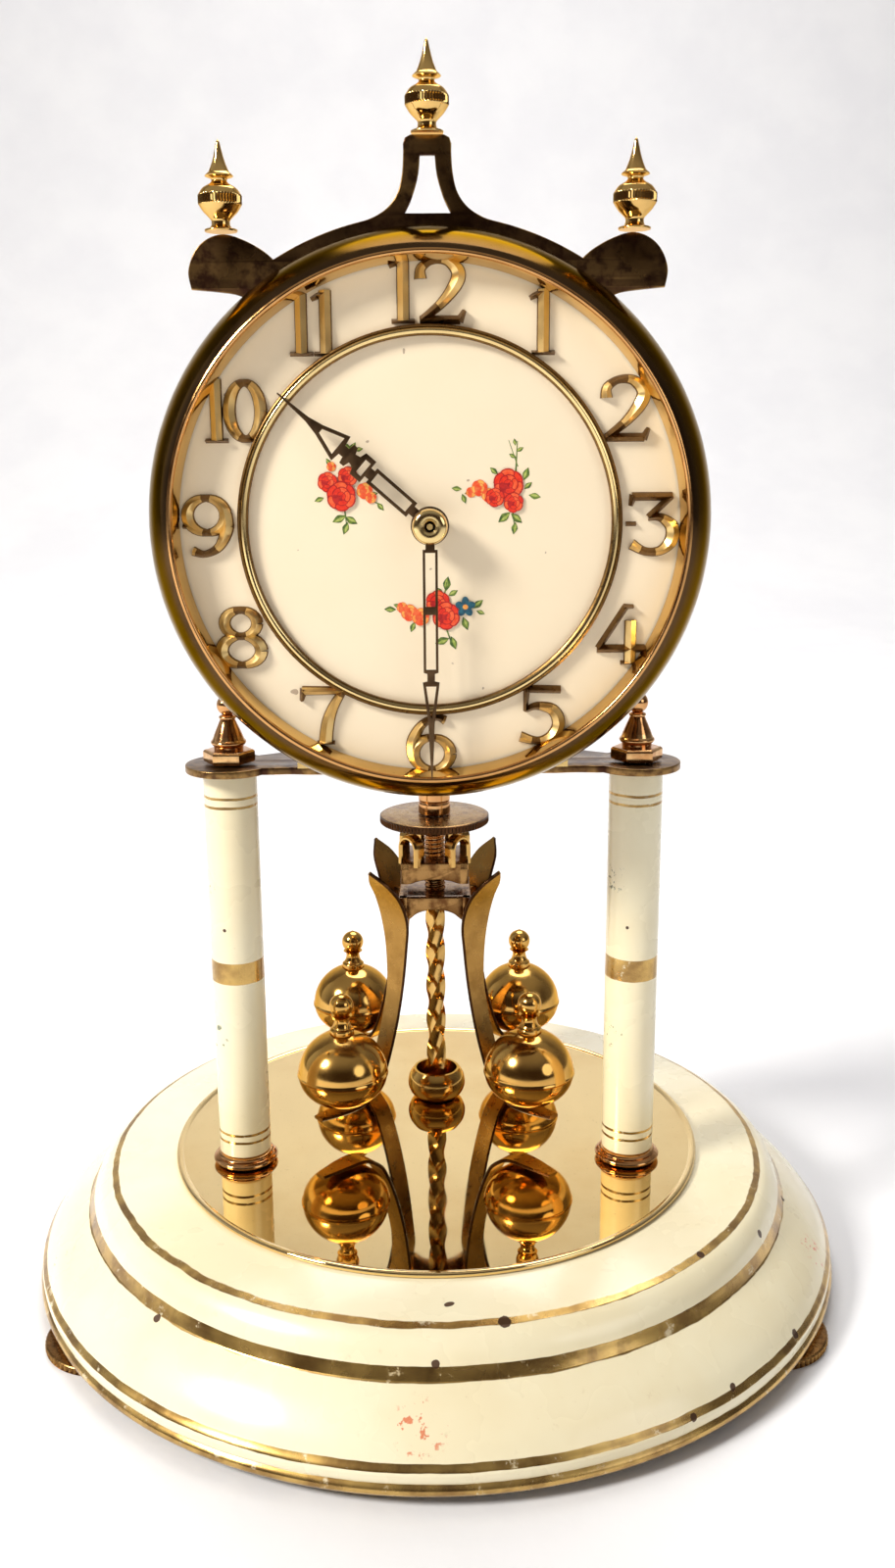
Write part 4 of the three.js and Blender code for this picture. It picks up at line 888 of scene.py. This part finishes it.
def stem(x0, z0, x1, z1, width=0.16):
    dx, dz = x1 - x0, z1 - z0
    length = math.hypot(dx, dz)
    nx, nz = -dz / length * width, dx / length * width
    end_x, end_z = nx * 0.5, nz * 0.5
    outline = [(x0 + nx, z0 + nz), (x1 + end_x, z1 + end_z), (x1 - end_x, z1 - end_z), (x0 - nx, z0 - nz)]
    return [(outline, "leaf_dark")]


WARM = ("rose_orange", "rose_coral", "rose_yellow")
RED = ("rose_deep", "rose_red", "rose_coral")


def bouquets():
    """The three bouquets, placed from the centre of the dial."""
    left = (leaf(-17.6, 1.3, 1.5, 205) + leaf(-15.3, 1, 1.4, -30) + leaf(-16.4, -0.5, 1.3, 250)
            + stem(-16.5, 3, -16.2, 0) + leaf(-14.8, 14.6, 1.3, 60) + leaf(-15.9, 15, 1, 150)
            + leaf(-13.6, 14.4, 0.9, 10) + stem(-15, 11, -14.8, 14) + leaf(-21.4, 5, 1, 200)
            + leaf(-9.6, 3.6, 1, -50) + leaf(-10.8, 6, 0.8, 10) + stem(-12, 5, -9.6, 4)
            + leaf(-19.4, 12, 0.9, 120) + rose(-18.9, 11.2, 1, WARM) + rose(-12.6, 6.6, 1.7, WARM)
            + rose(-11.4, 5.3, 1.2, WARM) + rose(-19.7, 8.3, 2.1, RED) + rose(-15.8, 9.3, 2.1, RED)
            + rose(-17.1, 5.6, 3.1, RED))
    right = (stem(16.6, 10, 16.9, 15.8) + leaf(16, 13, 0.8, 150) + leaf(17.4, 14.2, 0.8, 30)
             + leaf(16.4, 15.6, 0.7, 100) + stem(17, 11, 15.2, 16, 0.1) + leaf(18.6, 9.6, 1.3, 70)
             + leaf(20.3, 5.4, 1.2, -10) + leaf(19, 7.4, 1, 40) + leaf(14.4, 1.4, 1.5, 220)
             + leaf(16.8, 1.2, 1.4, -40) + leaf(16.4, -0.7, 1.2, 260) + stem(16, 3, 16.4, -0.4)
             + leaf(5.2, 6.9, 1, 175) + leaf(6.6, 5, 1, 110) + leaf(7.6, 6.1, 0.9, 190)
             + leaf(12.4, 10.2, 1, 140) + rose(8, 6.2, 1.1, WARM) + rose(9.6, 7, 1.7, WARM)
             + rose(11.4, 5.6, 1.5, WARM) + rose(15.2, 7.7, 3.2, RED) + rose(12.6, 5.2, 2, RED)
             + rose(16.2, 4.2, 2.1, RED))
    low = (leaf(3.2, -11.4, 1.5, 80) + leaf(4.4, -13.2, 1.1, 30) + leaf(1.8, -12.8, 0.9, 130)
           + stem(2.6, -14, 3.2, -11) + leaf(-8, -16.3, 1.2, 178) + leaf(-6.6, -15.6, 0.8, 160)
           + leaf(-3.6, -19.8, 1.1, 250) + leaf(9.3, -15.4, 1.3, 40) + leaf(9.8, -17, 0.9, -20)
           + leaf(6.8, -19.2, 1.4, -70) + leaf(2.2, -22.6, 1.5, 200) + leaf(4.4, -23, 1.4, -70)
           + stem(3, -20, 4.2, -23.6) + rose(-5.6, -16, 1.2, WARM) + rose(-4.2, -17, 1.8, WARM)
           + rose(-2, -17.8, 1.9, WARM) + rose(1.4, -15, 2.6, RED) + rose(3, -17.6, 3, RED))
    for k in range(5):
        a = math.radians(72 * k + 18)
        x, z = 6.8 + 1.1 * math.cos(a), -15.9 + 1.1 * math.sin(a)
        low.append((petal(x, z, 0.95, 0.7, 72 * k + 18), "petal_blue"))
    low.append((petal(6.8, -15.9, 0.55, 0.5, 0), "rose_yellow"))
    return [left, right, low]


def roses(spot):
    colors = {
        "rose_deep": ((0.55, 0.015, 0.01), (0.34, 0.006, 0.008)),
        "rose_red": ((0.86, 0.045, 0.01), (0.72, 0.02, 0.008)),
        "rose_coral": ((0.92, 0.15, 0.045), (0.86, 0.06, 0.012)),
        "rose_orange": ((0.9, 0.2, 0.05), (0.8, 0.09, 0.03)),
        "rose_yellow": ((0.95, 0.5, 0.1), (0.92, 0.32, 0.06)),
        "leaf_dark": ((0.16, 0.24, 0.035), (0.05, 0.1, 0.02)),
        "leaf_light": ((0.5, 0.55, 0.14), (0.26, 0.36, 0.05)),
        "petal_blue": ((0.02, 0.14, 0.2), (0.01, 0.06, 0.1)),
    }
    names = list(colors)
    materials = [transfer(name, *colors[name]) for name in names]
    corners, faces, slots = [], [], []
    for bouquet in bouquets():
        for layer, (outline, tone) in enumerate(bouquet):
            y = spot.face - 0.02 - 0.002 * layer
            faces.append(list(range(len(corners), len(corners) + len(outline))))
            corners += [(spot.x + x, y, spot.z + z) for x, z in outline]
            slots.append(names.index(tone))
    attach(make_mesh("dial_rose_transfers", corners, faces, materials, slots), "dial_plate")


# ---------- hands ----------
HOUR_TURN = 311          # degrees from twelve, between ten and eleven


def skeleton_hand(node, outline, windows, bore, rim, degrees):
    """A pierced hand drawn pointing up, with a round collar, turned clockwise about the dial's centre."""
    at = place(node)
    low, high = at.low.y, at.high.y
    shapes = [mirrored(shape) for shape in (outline, *windows)]
    blade = plate("blade", shapes, low, high, [hand_bronze], 0.1)
    ring = rounded([(bore, low), (rim, low), (rim, high), (bore, high), (bore, low)], 0.12)
    collar = lathe("collar", ring, [hand_bronze], axis="Y", around=48)
    hand = turned(join(f"{node}_skeleton", [blade, collar]), degrees, "Y", (0, 0, 0))
    centre = place("hand_nut")
    hand.data.transform(Matrix.Translation((centre.x * MM, 0, centre.z * MM)))
    dress(hand, node)


def minute_hand():
    reach = place("hand_nut").z - place("minute_hand").low.z
    outline = [(0.9, 3.2), (0.9, 4.4), (1.45, 4.4), (1.45, 28.2), (0.75, 28.4), (0.75, 29.9), (1.65, 30.1),
               (0.62, 38.4), (0.4, 44), (0.12, reach)]
    windows = [[(0.95, 5), (0.95, 15.3)], [(0.95, 16.9), (0.95, 27.6)], [(1.0, 30.9), (0.12, 37.2)]]
    skeleton_hand("minute_hand", outline, windows, 1.9, 3.5, 180)


def hour_hand():
    outline = [(0.9, 3), (0.9, 4.6), (1.7, 4.6), (1.7, 14.6), (1, 14.6), (1, 15.5), (2.5, 15.5), (2.5, 18),
               (1.2, 18.4), (1, 19.4), (2.2, 19.8), (2.2, 20.8), (1, 21), (1, 21.9), (2.9, 22.2), (1.1, 27.6),
               (0.5, 30.6), (0.12, 37.8)]
    windows = [[(1.05, 5.4), (1.05, 13.9)], [(1.5, 16.1), (1.5, 17.3)], [(1.9, 22.9), (0.45, 27.2)]]
    skeleton_hand("hour_hand", outline, windows, 2.9, 3.7, HOUR_TURN)


def hand_nut():
    at = place("hand_nut")
    r, back, front = at.radius + 0.4, at.high.y, at.low.y
    dome = [(1.05, back), (r, back)]
    dome += spline([(r, back - 0.4), (r - 0.3, front + 0.4), (r - 1.1, front), (1.6, front)], 4)
    dome += rounded([(1.6, front), (1.3, front + 0.3), (1.05, front + 0.5), (1.05, back)], 0.1)
    dress(lathe("hand_nut_turned", dome, [trim_brass], at.face, "Y", 64), "hand_nut")


# ---------- pendulum ----------
CORNERS = (45, 135, 225, 315)
BAR_FOOT = 33.6
BAR_PITCH = 36           # height in which the square bar makes one turn
BAR_STEPS = 96
BAR_HALF = 1.84          # from its axis to a side
BAR_EDGE = 2.45          # from its axis to a softened edge
THREAD_PITCH = 1.1
THREAD_DEPTH = 0.32
LUG_REACH = 13.4
BALL_DEPTH = 8.3         # below the seam
BALL_HEIGHT = 10.4       # above it
SEAM_HALF = 0.16
BLOCK_TOP = 84.6
BLOCK_FOOT = 79
NUT_HALF = 8.2
NUT_TOP = 93.2
LOOP_REACH = 8           # from the nut's axis to the middle of a loop
LOOP_HALF = 2.65
ARM_SPINE = [(21.8, 93), (18.9, 89.6), (15.8, 85), (13.8, 79), (13.4, 72), (13.9, 63), (15.6, 55), (17.8, 48),
             (20.2, 42.2), (22.5, 38.9), (27, 36.1), (33, 35.7), (39.6, 36)]
ARM_WIDTHS = [0.5, 6.6, 9, 9.3, 7.4, 5.8, 5.6, 5.6, 5.6, 5.6, 5.6, 5.2, 3]


def hub_tube():
    at = place("hub_tube")
    r, low, top = at.radius, at.low.z, at.high.z
    ring = rounded([(0, low), (r, low), (r, low + 2.6), (r - 0.35, low + 2.9), (r - 0.05, low + 3.3),
                    (r - 0.05, top), (2.6, top), (2.6, low + 3.2), (0, low + 3.2)], 0.2)
    tube = lathe("tube", ring, [red_brass], at.plan, around=64)
    screw = lathe("screw", rounded([(0, -0.5), (1.15, -0.5), (1.15, 0.1), (0.45, 0.35), (0.45, 0.1),
                                    (0, 0.1)], 0.1),
                  [hand_bronze], (at.x, at.y - r - 0.02, low + 6.4), "Y", 32)
    dress(join("hub_tube_turned", [tube, screw]), "hub_tube")


def regulator_disc():
    at = place("regulator_disc")
    r, low, top = at.radius, at.low.z, at.high.z
    side = [(r, low + 0.35 + 0.25 * i) for i in range(7)]
    profile = [(2.9, low), (r - 0.6, low), (r - 0.25, low + 0.15)] + side
    profile += [(r - 0.25, top - 0.1), (r - 0.6, top), (2.9, top), (2.9, low)]
    edge = knurled(90, 0.3, low + 0.3, top - 0.35)

    def only_rim(radius, height, angle):
        return edge(radius, height, angle) if radius > r - 0.1 else 0

    # The knurled rim is painted dark as shade.
    def which(radius, height):
        return 1 if radius > r - 0.3 else 0
    dress(lathe("regulator_disc_knurled", profile, [old_brass, edge_shade_brass], at.plan, around=360, knurl=only_rim,
                paint=which), "regulator_disc")


def thread(radius, height, angle):
    """How far the surface of the threaded rod lies below its crests."""
    if radius <= 2:
        return 0
    turns = height / THREAD_PITCH - angle / math.pi / 2
    return THREAD_DEPTH * (abs(turns % 1 * 2 - 1) - 1)


def threaded_rod(at):
    rise = THREAD_PITCH / 10
    heights = [BLOCK_TOP - 0.5 + rise * i for i in range(int((at.high.z - BLOCK_TOP + 0.5) / rise))]
    rod = [(0, heights[0])] + [(2.6, h) for h in heights] + [(2.2, at.high.z), (0, at.high.z)]
    return lathe("thread", rod, [red_brass], at.plan, around=48, knurl=thread, smooth=60)


def twisted_bar(at):
    """A square bar with softened edges, which turns as it rises."""
    rings = []
    for i in range(BAR_STEPS + 1):
        z = BAR_FOOT + (BLOCK_FOOT + 1 - BAR_FOOT) * i / BAR_STEPS
        twist = 2 * math.pi * z / BAR_PITCH
        ring = []
        for k in range(24):
            a = 2 * math.pi * k / 24
            to_side = 1 / max(abs(math.cos(a)), abs(math.sin(a)))
            r = min(BAR_HALF * to_side, BAR_EDGE)
            ring.append((at.x + r * math.cos(a + twist), at.y + r * math.sin(a + twist), z))
        rings.append(ring)
    return loft("bar", rings, [bar_brass], smooth=28)


def arm_lug(at, degrees):
    """A lug that carries an arm on a corner of the spindle's block."""
    along = Vector((math.cos(math.radians(degrees)), math.sin(math.radians(degrees))))
    aside = Vector((-along.y, along.x)) * 1.3
    root, tip = along * 10.5, along * LUG_REACH
    corners = (root - aside, tip - aside, tip + aside, root + aside)
    outline = [(at.x + corner.x, at.y + corner.y) for corner in corners]
    return plate("lug", [outline], BLOCK_FOOT + 0.3, BLOCK_FOOT + 3.2, [block_brass], 0.2, upright=False)


def spindle():
    """Thread above, the square block with its arched skirt and lugs, and the twisted bar down to the cup."""
    at = place("pendulum_spindle")
    foot, top = at.low.z, BAR_FOOT + 1
    stub = rounded([(0, foot), (0.9, foot), (1.3, foot + 0.5), (1.3, top), (0, top)], 0.2)
    pieces = [threaded_rod(at), twisted_bar(at), lathe("pin", stub, [polished], at.plan, around=32)]
    pieces += spider_block(at.x, at.y, at.radius, BLOCK_FOOT, BLOCK_TOP, 1.9)
    pieces += [arm_lug(at, degrees) for degrees in CORNERS]
    dress(join("pendulum_spindle_threaded", pieces), "pendulum_spindle")


def square(x, y, half):
    return [(x - half, y - half), (x + half, y - half), (x + half, y + half), (x - half, y + half)]


def spider_block(x, y, half, low, high, arch):
    """A square block whose sides hang as skirts with an arch cut in each."""
    sides = []
    for k in range(4):
        line = [(half, high), (half, low), (half * 0.72, low)]
        line += arc(0, low - 0.2, half * 0.66, 20, 160, 12, arch / (half * 0.66) * 1.4)
        line += [(-half * 0.72, low), (-half, low), (-half, high)]
        wall = plate("wall", [line], -half + 0.02, -half + 2.1, [block_brass], 0.2)
        turned(wall, 90 * k, "Z", (0, 0, 0))
        wall.data.transform(Matrix.Translation((x * MM, y * MM, 0)))
        sides.append(wall)
    deck = plate("deck", [square(x, y, half - 1)], high - 1.6, high - 0.02, [block_brass], 0.2, upright=False)
    return sides + [deck]


def upper_spider():
    at = place("upper_spider")
    half, low, high = NUT_HALF, at.low.z, NUT_TOP
    pieces = []
    outlines = [square(at.x, at.y, half), arc(at.x, at.y, 2.9, 0, 345, 23)]
    pieces.append(plate("deck", outlines, high - 1.9, high, [block_brass], 0.25, upright=False))
    pieces += spider_block(at.x, at.y, half, low, high - 0.3, 0.9)
    for corner in CORNERS:
        a = math.radians(corner)
        cx, cy = at.x + LOOP_REACH * math.cos(a), at.y + LOOP_REACH * math.sin(a)
        across = Vector((-math.sin(a), math.cos(a), 0))
        line = [(LOOP_HALF, high - 1), (LOOP_HALF, high + 1.2)]
        line += arc(0, at.high.z - 3.1, LOOP_HALF, 0, 180, 16)
        line += [(-LOOP_HALF, high + 1.2), (-LOOP_HALF, high - 1)]
        spine = [Vector((cx, cy, z)) + across * u for u, z in line]
        pieces.append(strip("loop", spine, (math.cos(a), math.sin(a), 0), [3.2] * len(spine), 1.4,
                            [bar_brass]))
    dress(join("upper_spider_looped", pieces), "upper_spider")


def pendulum_arm(corner, degrees):
    at = place("pendulum_spindle")
    a = math.radians(degrees)
    outward = Vector((math.cos(a), math.sin(a), 0))
    line = spline([(r, z, w) for (r, z), w in zip(ARM_SPINE, ARM_WIDTHS)], 7)
    spine = [Vector((at.x, at.y, z)) + outward * r for r, z, w in line]
    widths = [w for r, z, w in line]
    across = Vector((-math.sin(a), math.cos(a), 0))
    piece = strip(f"arm_{corner}_blade", spine, across, widths, 0.9, [arm_brass, edge_shade_brass])
    # The narrow edges of the arm are painted dark as shade.
    for face in piece.data.polygons:
        if abs(face.normal.dot(across)) > 0.3:
            face.material_index = 1
    dress(piece, f"arm_{corner}")


def pendulum_ball(corner):
    node = f"ball_{corner}"
    at = place(node)
    r = at.radius - 0.2
    z = at.low.z + BALL_DEPTH
    shape = [(0, z - BALL_DEPTH)] + arc(0, z, r, -84, -3, 28, BALL_DEPTH / r)
    shape += [(r + 0.16, z - SEAM_HALF * 2), (r + 0.2, z - SEAM_HALF), (r - 0.08, z),
              (r + 0.2, z + SEAM_HALF)]
    shape += [(r + 0.16, z + SEAM_HALF * 2)] + arc(0, z, r, 3, 74, 26, BALL_HEIGHT / r)
    neck = z + BALL_HEIGHT
    shape += rounded(shifted(0, neck, [(2.8, -0.5), (2.9, 0.8), (2.2, 1.2), (2.25, 1.4)]), 0.3)
    shape += spline(shifted(0, neck, [(2.1, 1.6), (1.75, 2.8), (1.9, 3.8), (2.5, 4.2)]), 4)
    shape += arc(0, neck + 6.7, 2.85, -58, 80, 14) + [(0.35, neck + 9.7), (0, neck + 9.78)]
    dress(lathe(f"{node}_turned", shape, [ball_brass], at.plan, around=96), node)


def ribbon():
    """The suspension ribbon, a thin flat strip from the saddle down to the pendulum."""
    at = place("suspension_ribbon")
    low, high = at.low.z, at.high.z
    section = ((-0.8, -0.08), (0.8, -0.08), (0.8, 0.08), (-0.8, 0.08))
    steps = 80
    rings = []
    for i in range(steps + 1):
        z = low + (high - low) * i / steps
        rings.append([(at.x + u, at.y + v, z) for u, v in section])
    piece = loft("suspension_ribbon_spring", rings, [steel])
    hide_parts("suspension_ribbon")
    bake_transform(piece)


# ---------- movement ----------
def movement_finishes():
    """CAD nodes whose shape is right keep it, and take a full material."""
    for node, slot in SLOT_OF.items():
        shown = frame["nodes"][node]
        if shown.hide_render:
            continue
        material = {"steel": steel, "movement_brass": clock_brass}.get(slot, old_brass)
        shown.data.materials.clear()
        shown.data.materials.append(material)


# ---------- stage ----------
def ground():
    """A floor that curves up into a backdrop far behind."""
    line = [(-3.2, 0)] + [(1 + 0.9 * math.sin(t), 0.9 - 0.9 * math.cos(t))
                         for t in (math.radians(5 * i) for i in range(19))] + [(1.9, 4)]
    corners, faces = [], []
    for y, z in line:
        corners += [(-4 / MM, y / MM, z / MM), (4 / MM, y / MM, z / MM)]
    for i in range(len(line) - 1):
        faces.append([2 * i, 2 * i + 1, 2 * i + 3, 2 * i + 2])
    make_mesh("ground", corners, faces, [floor_cloth()])


def lamp(name, spot, target, size, power, color=(1, 1, 1)):
    light = bpy.data.lights.new(name, "AREA")
    light.shape = "DISK"
    light.size = size
    light.energy = power
    light.color = color
    made = into_scene(name, light)
    made.location = spot
    made.rotation_euler = (Vector(target) - Vector(spot)).to_track_quat("-Z", "Y").to_euler()


def lighting():
    """A dim room in front, a pale one behind that is dimmer to the right, and three soft lamps."""
    world = bpy.data.worlds.new("soft_room")
    bpy.context.scene.world = world
    world.use_nodes = True
    tree = world.node_tree
    heading = axes_of(tree, add_node(tree, "TexCoord", {}).outputs["Generated"])
    room = blend(tree, ease(tree, heading[1], -0.5, 0.5), (0.06, 0.04, 0.03), (0.74, 0.76, 0.82))
    room = blend(tree, ease(tree, heading[0], 0.1, 0.8, 0, 0.75), room, (0.06, 0.04, 0.03))
    room = blend(tree, ease(tree, heading[2], 0.35, 0.9), room, (0.42, 0.4, 0.38))
    backdrop = tree.nodes["Background"]
    put(tree, backdrop.inputs["Color"], room)
    put(tree, backdrop.inputs["Strength"], 0.8)
    lamp("key", (-1.25, -0.75, 1.15), (0, 0, 0.15), 0.45, 34, (1, 0.97, 0.92))
    lamp("fill", (1.3, -1.1, 0.7), (0, 0, 0.15), 0.9, 4, (0.93, 0.96, 1))
    lamp("top", (0.1, 0.9, 1.7), (0, 0.3, 0.1), 1.3, 20)
    bpy.context.scene.view_settings.view_transform = "Standard"


def camera():
    """The photograph's view, found by fitting a camera to the round parts of the clock."""
    eye = Vector((2.05, -318.03, 191.39)) * MM
    pitch, yaw, roll = (math.radians(d) for d in (13.40, 0.21, -0.36))
    forward = Vector((math.sin(yaw) * math.cos(pitch), math.cos(yaw) * math.cos(pitch), -math.sin(pitch)))
    right = Vector((math.cos(yaw), -math.sin(yaw), 0))
    up = right.cross(forward)
    right, up = right * math.cos(roll) + up * math.sin(roll), up * math.cos(roll) - right * math.sin(roll)
    data = bpy.data.cameras.new("camera")
    data.sensor_width = 36
    data.lens = 32.5
    data.clip_start = 0.01
    made = into_scene("camera", data)
    turn = Matrix((right, up, -forward)).transposed().to_4x4()
    made.matrix_world = Matrix.Translation(eye) @ turn
    bpy.context.scene.camera = made


base()
mirror_disc()
pendulum_cup()
for screw_node in LEVELLING_SCREWS:
    levelling_screw(screw_node)
for pillar_side in ("left", "right"):
    pillar(pillar_side)
    pillar_collar(pillar_side)
    pillar_finial(pillar_side)
platform()
gallery()
for finial_side in ("left", "centre", "right"):
    top_finial(finial_side)
bezel()
dial_spot = dial()
chapter_ring()
roses(dial_spot)
minute_hand()
hour_hand()
hand_nut()
hub_tube()
regulator_disc()
spindle()
upper_spider()
for quarter, corner_name in enumerate(("rear_right", "rear_left", "front_left", "front_right")):
    pendulum_arm(corner_name, 45 + 90 * quarter)
    pendulum_ball(corner_name)
ribbon()
movement_finishes()
ground()
lighting()
camera()
